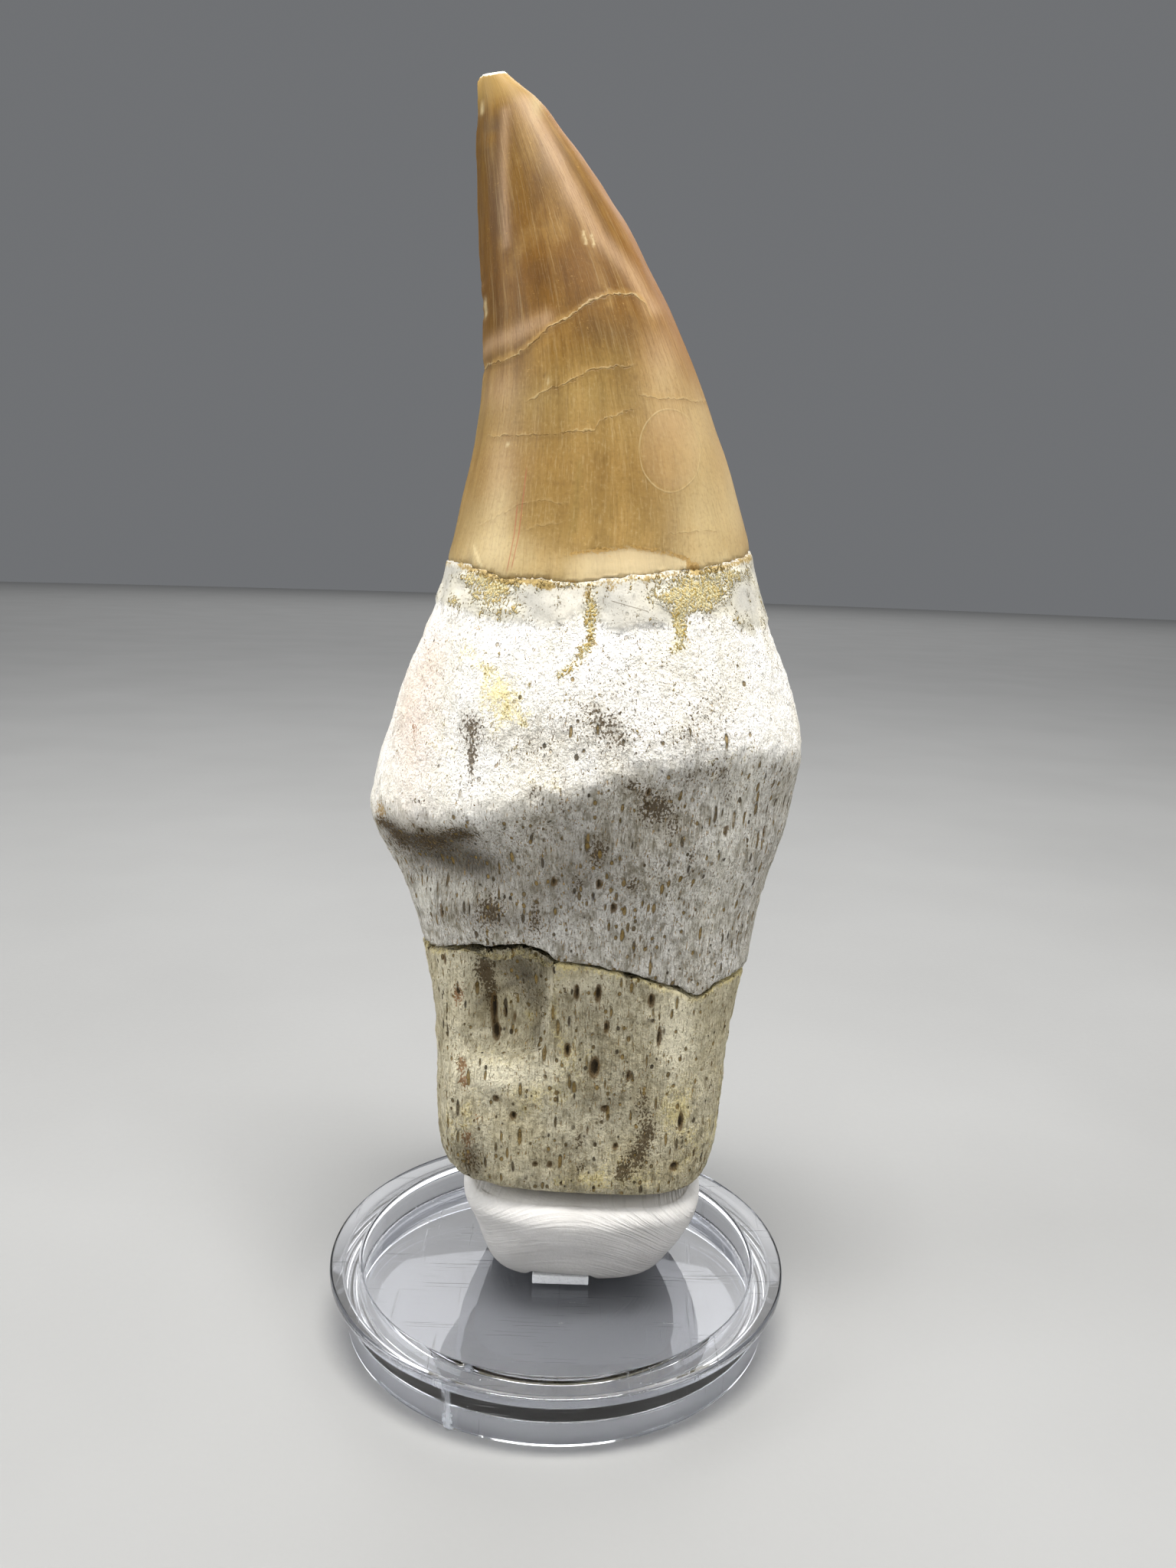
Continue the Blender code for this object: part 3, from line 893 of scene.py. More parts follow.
    def _wear(self, graph: EnamelGraph, flake: Signal) -> Signal:
        """Whiten the worn tip and the flaked band, and put dirt along the band's edge.

        Args:
            graph: The enamel's nodes.
            flake: 1 on the flaked band.

        Returns:
            1 where the enamel is worn through.
        """
        graph.over(graph.attribute("tip") * (0.4 + 0.6 * graph.streaks), self.straw)
        frayed = (graph.noise((0.5, 0.5, 0.9)) - 0.5) * 0.8
        ragged = (graph.attribute("worn") + frayed).step(0.35, 0.7)
        graph.over(ragged, self.horn)
        graph.over(flake * (0.2 + 0.4 * graph.clouds), self.chalky)
        grains = graph.noise((0.2, 0.2, 0.2))
        dirt = graph.attribute("flake_edge") + (grains - 0.5) * 1.8 + (graph.mottle - 0.5)
        graph.over(dirt.step(0.3, 0.75) * 0.8, graph.mix(grains.step(0.4, 0.6), self.dirt, self.straw))
        return ragged


class BoneGraph(Graph):
    """The bone's nodes, with the noises that its layers share."""

    def __init__(self, name: str) -> None:
        """Start the material with its noises.

        Args:
            name: The material's name.
        """
        super().__init__(name)
        self.clouds = self.noise((5.0, 5.0, 7.0), 4.0)
        self.mottle = self.noise((0.9, 0.9, 1.5), 4.0)
        self.speckle = self.noise((0.2, 0.2, 0.26), 2.0)
        self.grit = self.noise((0.14, 0.14, 0.2))
        self.fibres = self.noise((0.20, 0.20, 3.0))
        self.lumps = self.noise((0.45, 0.45, 0.5), 4.0)
        self.coarse = self.attribute("coarse")
        self.region = self.coarse

    def dusted(self, name: str) -> Signal:
        """Return 1 on the grains of a stain, which lie closer together where the stain is stronger."""
        return (self.attribute(name) * 0.62 + (self.speckle - 0.5) * 1.5).step(0.30, 0.40)

    def pores(self, size: Size, share: Number) -> tuple[Signal, Signal]:
        """Return 1 in scattered pores of many widths, of which a share is open, and how dark each one is."""
        distance, (chance, width, dark) = self.scatter(size)
        return (distance - width * 0.24).step(0.19, 0.07) * (chance - share).step(0.02, -0.02), dark


@dataclass(frozen=True)
class Bone:
    """Weathered root bone: chalky where it is lit most, darker on the coarse bone below the brow partly as
    painted shade, pitted, stained yellow, orange and grey, and with painted highlights and painted shade in
    places.
    """

    name: str
    chalk: str
    body: str
    shade: str
    pore: str = "6e5427"
    deep: str = "3c2f16"
    rim: str = "8c7237"
    ochre: str = "b48f42"
    lemon: str = "e4d394"
    rust: str = "92602e"
    soot: str = "463414"
    smoke: str = "665327"
    # The tone of the painted shade
    shadow_umber: str = "352b18"
    blush: str = "dfc3ae"
    filler: str = "c0bbad"
    glaze: str = "a09c8f"
    sand: str = "efe4b4"
    # The tone of the painted highlights
    grit: str = "c0a044"
    bright: str = "f2e9cc"
    pore_share: float = 0.36
    relief: float = 0.45
    hair: tuple[Place, ...] = ((3.1, 72.3), (4.5, 71.95), (6.3, 71.5))

    def material(self) -> bpy.types.Material:
        """Return the bone's material.

        Returns:
            The material, which reads what the root's form holds at each point.
        """
        graph = BoneGraph(self.name)
        self._ground(graph)
        self._stains(graph)
        self._open_pores(graph)
        filler, sand = self._crust(graph)
        hair = abs(graph.line(graph.across, graph.height, self.hair)).step(0.06, 0.02) * graph.front
        hair = hair * graph.window(graph.across, self.hair[0][0], self.hair[-1][0], 0.1)
        graph.over(hair * 0.6, self.soot)
        relief = graph.relief * (1.0 - 0.85 * filler) + sand * (graph.speckle * 1.1 + graph.grit * 0.6)
        return graph.dressed({
            "Roughness": 0.82 + 0.1 * graph.grit - 0.15 * filler,
            "IOR": 1.45,
            "Subsurface Weight": 0.04,
            "Subsurface Radius": (1.0, 0.8, 0.6),
            "Subsurface Scale": 0.5 * MM,
            "Normal": graph.bump(relief, self.relief),
        })

    def _ground(self, graph: BoneGraph) -> None:
        """Lay the chalky ground, and the darker, mottled tone of the coarse bone, which is partly painted
        shade below the brow.

        Args:
            graph: The bone's nodes.
        """
        graph.colour = graph.mix(graph.clouds.step(0.38, 0.62), self.body, self.chalk)
        # Partly painted shade: the coarse bone, which lies below the brow, is darkened towards the shade
        # tone.
        graph.over(graph.coarse * 0.38, self.shade)
        graph.lay((
            (graph.mottle, 0.50, 0.34, 0.2, 0.4, self.shade),
            (graph.fibres, 0.48, 0.34, 0.08, 0.4, self.shade),
            (graph.mottle, 0.52, 0.68, 0.0, 0.6, self.chalk),
            (graph.fibres, 0.55, 0.68, 0.0, 0.4, self.chalk),
            (graph.grit, 0.46, 0.3, 0.15, 0.25, self.shade),
        ))

    def _stains(self, graph: BoneGraph) -> None:
        """Lay the stains, the painted highlights and the painted shade over the ground, most of the stains in
        grains.

        Args:
            graph: The bone's nodes.
        """
        mottle, speckle = graph.mottle, graph.speckle
        graph.over(graph.attribute("blush") * (0.3 + 0.6 * graph.fibres), self.blush)
        lemon = graph.attribute("lemon") * 1.3 + (mottle - 0.5) * 1.8 + (speckle - 0.5) * 1.6
        graph.over(lemon.step(0.35, 1.15) * 0.85, self.lemon)
        # Painted highlight where a face catches the light.
        bright = graph.attribute("bright") * (mottle + graph.fibres - 0.2)
        graph.over(bright.step(0.0, 0.8), self.bright)
        graph.over(graph.dusted("ochre") * 0.8, self.ochre)
        graph.over(graph.dusted("rust") * 0.8, self.rust)
        graph.over(graph.attribute("soot") * (0.15 + 0.5 * mottle), self.smoke)
        # Painted shade in the hollows and under overhangs.
        graph.over(graph.attribute("shadow") * (0.4 + 0.8 * mottle), self.shadow_umber)
        graph.over(graph.dusted("soot") * 0.85, self.soot)

    def _open_pores(self, graph: BoneGraph) -> None:
        """Open the bone's pores, threads and specks, and start the relief with them.

        Args:
            graph: The bone's nodes.
        """
        mottle, coarse = graph.mottle, graph.coarse
        open_here = coarse * self.pore_share
        slits, slit_dark = graph.pores((0.56, 0.56, 2.6), open_here + 0.5 * coarse * (graph.clouds - 0.5))
        dots, dot_dark = graph.pores((0.56, 0.56, 0.8), 0.02 + open_here * 0.6)
        threads = graph.noise((0.13, 0.13, 0.9), 1.0) + 0.2 * (mottle - 0.5) - 0.06 * (1.0 - coarse)
        threads = threads.step(0.62, 0.70)
        specks = (graph.noise((0.16, 0.16, 0.2), 1.0) + 0.12 * (mottle - 0.5)).step(0.67, 0.74)
        carved = graph.attribute("pits") + (graph.grit - 0.5) * 0.3
        graph.over(specks * 0.4, self.pore)
        graph.over(threads * 0.7, graph.mix(graph.speckle.step(0.4, 0.6), self.ochre, self.pore))
        for hole, dark in ((slits, slit_dark), (dots, dot_dark)):
            graph.over(hole * 0.9, graph.mix(dark.step(0.3, 1.0), self.rim, self.deep))
        graph.over(carved.step(0.12, 0.4) * 0.8, self.pore)
        graph.over(carved.step(0.45, 0.9), self.deep)
        relief = graph.grit * 0.4 + graph.lumps * (0.6 + 0.6 * coarse) + graph.fibres * (0.1 + 0.6 * coarse)
        graph.relief = relief + mottle * 0.5 - slits * 1.2 - dots * 0.9 - specks * 0.3 - threads * 0.6

    def _crust(self, graph: BoneGraph) -> tuple[Signal, Signal]:
        """Lay the collar's filler, the sandy rock and the dirt over the bone.

        Args:
            graph: The bone's nodes.

        Returns:
            1 on the filler, and 1 on the sandy rock.
        """
        mottle, speckle, grit = graph.mottle, graph.speckle, graph.grit
        filler, sand = graph.attribute("filler"), graph.attribute("sand")
        smooth = graph.mix(graph.clouds.step(0.4, 0.6), self.filler, self.glaze)
        graph.over(filler * (0.5 + 0.5 * mottle), smooth)
        grains = (sand + (speckle - 0.5) * 2.2 + (mottle - 0.5) * 1.8).step(0.45, 0.85)
        sandy = graph.mix((speckle * 0.6 + grit * 0.4).step(0.42, 0.6), self.sand, self.grit)
        sandy = graph.mix(grit.step(0.40, 0.28) * 0.35, sandy, self.pore)
        graph.over(sand * (0.2 + 0.5 * mottle), self.sand)
        graph.over(grains * 0.85, sandy)
        dirt = (graph.attribute("dirt") + (grit - 0.5) * 1.2 + (speckle - 0.5) * 0.8).step(0.25, 0.6)
        graph.over(dirt * 0.85, graph.mix(speckle, self.grit, self.pore))
        return filler, grains


@dataclass(frozen=True)
class Putty:
    """Smooth white modelling putty, with soft finger marks, and painted shade towards its foot."""

    colour: str = "dddad6"
    smudge_and_shade: str = "b4b1ab"

    def material(self) -> bpy.types.Material:
        """Return the putty's material.

        Returns:
            The material.
        """
        graph = Graph("white_putty")
        clouds = graph.noise((5.0, 5.0, 4.0), 4.0)
        sweep = graph.height + (graph.across - 1.0) * (graph.across - 1.0) * SWEEP
        swept = graph.node("ShaderNodeCombineXYZ", {}, {0: graph.across / 5.0, 1: sweep / 0.28, 2: 0.0})
        smears = graph.node("ShaderNodeTexNoise", {}, {"Vector": swept, "Scale": 1.0, "Detail": 3.0})
        grain = graph.noise((0.3, 0.3, 0.3))
        side = 0.45 + 0.55 * graph.across.step(1.0, 7.0)
        graph.colour = graph.mix(clouds.step(0.4, 0.75) * 0.35, self.colour, self.smudge_and_shade)
        graph.over(smears.step(0.5, 0.3) * 0.3 * side, self.smudge_and_shade)
        # Painted shade: the putty is darker towards its foot, where it turns under.
        graph.over(graph.height.step(9.0, 4.5) * 0.5, self.smudge_and_shade)
        return graph.dressed({
            "Roughness": 0.5 + 0.15 * grain,
            "IOR": 1.48,
            "Subsurface Weight": 0.15,
            "Subsurface Radius": (1.0, 0.95, 0.85),
            "Subsurface Scale": 1.0 * MM,
            "Normal": graph.bump(smears * side * 0.9 + grain * 0.2 + clouds * 0.8, 0.28),
        })


@dataclass(frozen=True)
class FoamTape:
    """White foam of a double-sided sticky pad."""

    colour: str = "e4e5e6"
    cell: str = "c2c4c8"

    def material(self) -> bpy.types.Material:
        """Return the tape's material.

        Returns:
            The material.
        """
        graph = Graph("foam_tape")
        bubbles, _ = graph.scatter((0.22, 0.22, 0.22))
        graph.colour = graph.mix(bubbles.step(0.4, 0.1) * 0.6, self.colour, self.cell)
        return graph.dressed({"Roughness": 0.7, "IOR": 1.45, "Normal": graph.bump(bubbles, 0.05)})


@dataclass(frozen=True)
class ClearPlastic:
    """Clear moulded plastic with fine handling scratches, and a frosted moulding mark."""

    tint: str = "f4f6fc"
    frosted: str = "dfe3ea"
    floor_top: float = 3.2

    def material(self) -> bpy.types.Material:
        """Return the plastic's material.

        Returns:
            The material: clear plastic, with white where it is dusty or frosted.
        """
        graph = Graph("clear_plastic")
        frost = graph.attribute("frost")
        swirl = graph.noise((0.25, 14.0, 8.0), 2.0)
        cross = graph.noise((11.0, 0.2, 8.0), 2.0)
        scratches = swirl.step(0.68, 0.74) + cross.step(0.68, 0.74)
        distance, (chance, width, _) = graph.scatter((2.4, 2.4, 2.4))
        dust = (distance - width * 0.04).step(0.05, 0.03) * (chance - 0.3).step(0.02, -0.02)
        dust = dust * graph.height.step(self.floor_top - 0.3, self.floor_top - 0.1)
        ragged = (frost + (graph.noise((0.5, 0.5, 0.5)) - 0.5) * 1.2).step(0.4, 0.8)
        white = graph.shader({"Base Color": self.frosted, "Roughness": 0.6})
        clear = graph.shader({
            "Base Color": self.tint,
            "Roughness": 0.02 + 0.10 * scratches + 0.35 * frost,
            "IOR": 1.58,
            "Transmission Weight": 1.0,
            "Normal": graph.bump(scratches * 0.3 + graph.noise((0.8, 0.8, 0.8), 2.0) * frost, 0.03),
        })
        factor = dust * 0.6 + ragged * (0.35 + 0.4 * graph.height.step(2.4, 1.2))
        return graph.done(graph.node("ShaderNodeMixShader", {}, {0: factor, 1: clear, 2: white}))


@dataclass
class Crown:
    """The enamelled crown: two sharp edges, a worn tip, a cracked skin and a flaked lower edge."""

    voxel: float = 0.23
    smoothing: int = 50
    cut_height: float = 70.5
    tuck: float = 0.9
    lip: float = 0.06
    round_wrap: float = 10.0
    flake_depth: float = 0.13
    tip_wear: float = -0.1
    tip_slope: float = 0.17
    tip_back_slope: float = 0.36
    tip_left: float = -10.0
    tip_right: float = -6.8
    tip_narrowing: float = 0.14
    tip_shoulder: float = 0.075
    tip_shift: float = 0.3
    edge_chips: tuple[Spot, ...] = (
        Spot(-9.9, 99.0, 0.7, 0.4, 0.28), Spot(-9.9, 97.9, 0.7, 0.4, 0.32),
        Spot(-9.8, 100.6, 0.6, 0.3, 0.15), Spot(-9.8, 93.1, 0.9, 0.5, 0.35),
        Spot(13.3, 90.6, 0.5, 0.5, 0.3), Spot(12.6, 92.4, 0.4, 0.4, 0.2), Spot(-8.9, 113.0, 0.7, 0.8, 0.25),
    )
    dark_marks: tuple[Mark, ...] = (
        Spot(10.3, 75.6, 0.5, 0.35, 0.8), Spot(3.5, 95.0, 1.6, 1.4, 0.2), Spot(-6.5, 117.0, 0.5, 0.9, 0.3),
        Trail(((-8.0, 114.2), (-8.3, 113.2), (-8.3, 108.9), (-7.9, 104.3)), 0.7, 0.6),
        Spot(-4.6, 106.6, 0.5, 2.5, 0.3), Trail(((-9.2, 103.0), (-9.3, 98.5), (-9.0, 94.0)), 1.2, 0.15),
        Spot(-7.4, 113.0, 0.8, 1.8, 0.35), Spot(-2.0, 99.5, 2.8, 2.0, 0.3), Spot(1.5, 95.4, 2.6, 1.8, 0.3),
        Spot(-4.2, 109.0, 1.0, 2.2, 0.25),
        Trail(((-8.6, 93.6), (-6.0, 93.9), (-3.9, 95.4), (-1.3, 97.3), (1.6, 99.2), (4.0, 99.8)), 0.7, 0.2),
        # The spot at 2.2 across, 101 high dulls the sheen there as painted shade.
        Spot(-3.4, 91.4, 0.12, 0.12, 0.9), Spot(2.2, 101.0, 1.0, 1.6, 0.3), Spot(-9.6, 75.4, 0.3, 0.5, 0.8),
    )
    # Pale patches of the enamel; the spot at -5 across, 115.5 high, and the spots down the right edge also
    # stand in for sheen as painted highlight.
    pale_marks: tuple[Mark, ...] = (
        Spot(-6.5, 85.5, 0.16, 0.16, 0.9), Trail(((-0.4, 103.9), (-0.1, 102.9)), 0.12, 0.7),
        Trail(((0.3, 103.8), (0.6, 102.8)), 0.10, 0.8), Trail(((-9.4, 99.0), (-9.2, 97.6)), 0.2, 0.8),
        Spot(-3.0, 90.8, 0.12, 0.4, 0.6), Spot(11.5, 79.0, 3.0, 6.0, 0.55),
        Spot(-6.5, 76.2, 3.6, 1.6, 0.45), Spot(-8.5, 78.0, 2.6, 3.4, 0.35), Spot(3.0, 75.2, 6.0, 0.9, 0.3),
        Spot(-5.0, 115.5, 0.6, 1.6, 0.5), Trail(((-9.4, 76.6), (-8.9, 75.5), (-8.6, 74.8)), 0.12, 0.9),
        Spot(-7.0, 80.0, 1.2, 3.4, 0.35), Spot(-7.6, 85.5, 1.2, 2.4, 0.1), Spot(10.5, 88.0, 2.0, 5.0, 0.3),
        Spot(14.6, 82.0, 1.4, 5.0, 0.4), Trail(((-9.9, 115.6), (-9.9, 114.9)), 0.2, 0.8),
        Trail(((-3.9, 118.0), (-3.7, 116.6)), 0.12, 0.5), Spot(7.2, 91.5, 1.4, 3.0, 0.25),
    )
    # The long trail down the ridge and the spots at 7 and 8.5 across paint the sheen of the ridge as a
    # painted highlight; the others are pinkish streaks of the enamel.
    painted_sheen_and_pink_marks: tuple[Mark, ...] = (
       
        Trail(
            ((-5.9, 115.6), (-3.8, 112.0), (-1.0, 106.7), (0.9, 103.8), (3.8, 101.0), (5.9, 98.0)), 0.85, 0.6,
        ),
        Trail(((-9.3, 94.6), (-6.5, 95.0), (-3.4, 96.2)), 0.8, 0.5), Spot(-7.5, 90.5, 1.8, 2.0, 0.4),
        Trail(((-7.7, 114.5), (-7.6, 109.0), (-7.2, 103.0)), 0.45, 0.4), Spot(7.0, 94.0, 2.0, 3.4, 0.45),
        Spot(-7.2, 83.5, 1.6, 4.0, 0.3), Spot(8.5, 88.5, 3.0, 3.0, 0.3),
    )
    olive_marks: tuple[Mark, ...] = (
        Trail(((0.0, 83.9), (-0.2, 81.0), (-0.3, 78.3)), 0.35, 0.3), Spot(2.2, 93.0, 3.4, 3.0, 0.2),
    )

    def build(self) -> None:
        """Build the crown: smooth it between its edges, give it its relief and wear its tip flat."""
        form = FineForm("tooth", self.voxel, ((self.cut_height, True),))
        bearing = form.bearings()
        edge = np.maximum(0.6 * bell(bearing - 90.0, 9.0), bell(bearing + 90.0, 9.0))
        tip = ease(form.points[:, 2], TIP_HEIGHT - 3.0, TIP_HEIGHT - 1.0)
        form.smooth(self.smoothing, (1.0 - 0.75 * edge) * (1.0 - 0.95 * tip))
        grain = Grain(MARGIN_SEED)
        height = over_margin(form.points, bearing)
        form.lift(self._relief(form.points, height, grain))
        below_tip = TIP_HEIGHT - form.points[:, 2]
        width = 1.0 - self.tip_narrowing * ease(below_tip, 2.4, 0.2)
        width += self.tip_shoulder * bell(below_tip - 2.3, 1.7)
        across = self.tip_left + (form.points[:, 0] - self.tip_left) * width
        form.points[:, 0] = across - self.tip_shift * ease(below_tip, 4.0, 1.0)
        form.points[:, 2] = np.minimum(form.points[:, 2], self._tip_top(form.points))
        turn = np.radians(bearing)
        wrap = (self.round_wrap * np.sin(turn), -self.round_wrap * np.cos(turn), form.points[:, 2])
        write_values(form.mesh, "wrap", np.stack(wrap, axis=1))
        form.write(self._values(form.points, bearing, height, grain))
        settle_in(form.piece("crown", Enamel().material()), "tooth")

    def _tip_top(self, points: np.ndarray) -> np.ndarray:
        """Find the flat that the tip is worn to, which rises to the right and to the back.

        Args:
            points: The points, one to a row.

        Returns:
            The flat's height over or under each point.
        """
        rise = self.tip_slope * (points[:, 0] - self.tip_right)
        rise += self.tip_back_slope * (points[:, 1] - TOOTH_PLANE_Y)
        return TIP_HEIGHT - self.tip_wear + rise

    def _relief(self, points: np.ndarray, height: np.ndarray, grain: Grain) -> np.ndarray:
        """Return how far each point moves out for the enamel's low relief.

        Args:
            points: The crown's points.
            height: Each point's height over the enamel's lower edge.
            grain: The noise to use.

        Returns:
            An amount for each point.
        """
        upright = points * (1.0, 1.0, 0.12)
        amounts = 0.035 * grain.smooth(upright, 1.1) + 0.05 * grain.rough(points, 6.0, 2)
        amounts += self.lip * bell(height - 0.5, 0.9)
        amounts -= self.flake_depth * self._flake(points) * ease(height, 0.0, 0.2)
        amounts -= marked(self.edge_chips, points)
        amounts -= self.tuck * ease(-height, -0.02, 0.26)
        return amounts

    @staticmethod
    def _flake(points: np.ndarray) -> np.ndarray:
        """Find the band above the lower edge where the outermost enamel has flaked away.

        Args:
            points: The points, one to a row.

        Returns:
            1 on the band and 0 outside it.
        """
        across, height = points[:, 0], points[:, 2]
        left, right = FLAKE[0][0], FLAKE[-1][0]
        inside = ease(across, left, left + 4.0) * ease(-across, -right, -right + 0.3)
        return ease(along(FLAKE, across) - height, -0.12, 0.12) * inside * front_side(points)

    def _values(
        self, points: np.ndarray, bearing: np.ndarray, height: np.ndarray, grain: Grain
    ) -> dict[str, np.ndarray]:
        """Return what the enamel's material reads at each point.

        Args:
            points: The crown's points.
            bearing: The bearing of each.
            height: Each point's height over the enamel's lower edge.
            grain: The noise to use.

        Returns:
            The values by name.
        """
        over_top = points[:, 2] - self._tip_top(points)
        patchy = ease(grain.rough(points, 2.0), -0.2, 0.4)
        rim = Trail(FLAKE[2:], 0.2, 0.85).at(points) + Spot(10.3, 75.5, 0.6, 0.4, 1.0).at(points)
        rim += 0.8 * bell(height, 0.22) * patchy
        return {
            "left_side": ease(-bearing, 15.0, 70.0) * ease(bearing, -175.0, -120.0),
            "right_side": ease(bearing, 30.0, 85.0) * ease(-bearing, -170.0, -120.0),
            "dark": marked(self.dark_marks, points),
            "pale": marked(self.pale_marks, points) + (0.15 + 0.2 * patchy) * bell(height - 0.2, 1.0),
            "painted_sheen_and_pink": marked(self.painted_sheen_and_pink_marks, points),
            "olive": marked(self.olive_marks, points),
            "worn": ease(over_top, -0.35, 0.0) + 0.9 * marked(self.edge_chips, points),
            "tip": ease(over_top, -3.2, -0.4),
            "flake": self._flake(points),
            "flake_edge": rim,
        }


@dataclass
class UpperRoot:
    """The swollen root under the crown: a torn collar, a chalky bulge, a brow and coarse bone below it."""

    voxel: float = 0.27
    smoothing: int = 45
    seed: int = 23
    cut_height: float = 79.0
    tuck: float = 0.9
    collar_lift: float = 0.2
    break_guard: float = 2.2

    lemon: tuple[Mark, ...] = (
        Spot(-9.5, 67.5, 1.6, 1.2, 0.5), Spot(-8.0, 66.3, 0.9, 0.8, 0.35), Spot(-6.2, 65.0, 1.9, 1.6, 0.55),
        Spot(-4.3, 62.2, 2.2, 1.8, 0.4), Spot(-7.0, 63.0, 2.2, 2.2, 0.4), Spot(-1.5, 57.5, 4.0, 2.0, 0.3),
        Spot(9.2, 69.2, 1.0, 1.6, 0.7), Spot(-11.0, 58.0, 3.0, 4.0, 0.25), Spot(14.0, 58.0, 3.0, 3.0, 0.3),
    )
    ochre: tuple[Mark, ...] = (
        Trail(((0.8, 72.9), (1.4, 71.3), (1.5, 68.8)), 0.32, 0.8),
        Trail(((1.5, 68.8), (0.3, 67.0), (-1.0, 65.9)), 0.45, 0.6),
        Trail(((8.5, 71.5), (9.9, 69.0)), 0.35, 0.5), Spot(-8.6, 69.5, 0.5, 0.3, 0.6),
        Spot(-17.7, 52.0, 0.6, 1.2, 0.9), Spot(-2.5, 73.4, 0.9, 0.35, 0.9), Spot(1.0, 73.6, 0.6, 0.3, 0.8),
        Spot(10.6, 73.1, 0.5, 0.4, 0.8), Spot(13.8, 74.2, 0.5, 0.4, 0.8),
    )
    rust: tuple[Mark, ...] = (
        Spot(-14.4, 60.2, 0.5, 0.8, 0.5), Spot(-13.1, 63.8, 0.4, 0.5, 0.4),
        Spot(-17.8, 51.0, 0.5, 1.0, 0.7),
    )
    blush: tuple[Mark, ...] = (Spot(-14.5, 60.5, 2.4, 6.0, 0.9), Spot(-13.0, 66.5, 1.5, 3.0, 0.6))
    # Soot stains; the broad faint ones in the hollow under the left lobe also darken it as painted shade.
    soot: tuple[Mark, ...] = (
        Spot(-8.8, 61.2, 1.5, 1.3, 0.6), Spot(-8.6, 59.0, 0.7, 1.8, 0.5),
        Trail(((-8.6, 59.0), (-8.6, 56.0)), 0.25, 0.45), Spot(2.9, 62.1, 1.4, 1.0, 0.3),
        Spot(1.4, 63.3, 0.9, 0.8, 0.2), Spot(4.1, 60.6, 1.0, 0.8, 0.3), Spot(7.4, 54.8, 1.6, 1.5, 0.9),
        Spot(5.5, 56.8, 1.0, 0.8, 0.6), Spot(9.2, 52.8, 1.0, 1.2, 0.55), Spot(2.7, 50.8, 0.8, 1.3, 0.9),
        Spot(5.8, 47.4, 0.8, 1.2, 0.6), Spot(-6.9, 44.4, 1.3, 1.6, 0.75), Spot(-2.7, 43.7, 0.8, 1.8, 0.6),
        Spot(-17.5, 50.9, 0.9, 0.6, 0.9), Spot(-16.0, 49.6, 1.2, 1.6, 0.8),
        Spot(-12.7, 50.0, 1.8, 1.2, 0.8), Spot(-9.6, 51.4, 2.0, 0.8, 0.8), Spot(-13.5, 54.0, 1.0, 0.5, 0.4),
        Spot(14.0, 55.5, 0.5, 1.0, 0.5), Spot(10.5, 57.5, 0.6, 0.8, 0.5), Spot(-12.0, 48.6, 4.5, 2.0, 0.2),
        Spot(-8.0, 43.0, 5.0, 1.6, 0.2), Spot(-3.0, 56.0, 0.6, 0.8, 0.5), Spot(-0.5, 54.5, 0.3, 1.6, 0.45),
        Spot(11.0, 50.0, 0.4, 1.2, 0.5), Spot(1.0, 47.5, 0.7, 1.2, 0.5), Spot(3.0, 61.5, 4.0, 3.0, 0.3),
        Spot(10.5, 61.0, 3.0, 2.5, 0.26), Spot(-3.0, 59.5, 3.0, 2.0, 0.24), Spot(12.0, 64.0, 2.5, 2.0, 0.2),
        Spot(5.0, 66.0, 3.0, 2.0, 0.16), Spot(13.0, 57.8, 1.6, 1.2, 0.4),
    )
    open_bone: tuple[Mark, ...] = (
        Spot(3.0, 61.5, 3.4, 2.6, 0.5), Spot(10.5, 60.5, 3.0, 2.2, 0.4), Spot(-3.5, 61.5, 3.0, 2.8, 0.35),
        Spot(-8.6, 60.6, 1.6, 2.4, 0.35), Spot(12.5, 64.0, 2.0, 3.0, 0.25),
    )
    shadow: tuple[Mark, ...] = (
        Trail(((-17.0, 50.6), (-14.5, 49.9), (-11.5, 50.6), (-9.2, 51.3)), 1.0, 0.8),
        Spot(-12.2, 48.5, 4.2, 1.9, 1.0), Spot(-8.0, 48.4, 2.8, 1.8, 0.65), Spot(-2.0, 46.5, 4.5, 3.5, 0.4),
        Spot(2.0, 50.5, 4.5, 4.0, 0.42), Spot(-7.5, 43.2, 4.5, 1.2, 0.4), Spot(-14.5, 45.8, 1.6, 1.6, 0.3),
    )
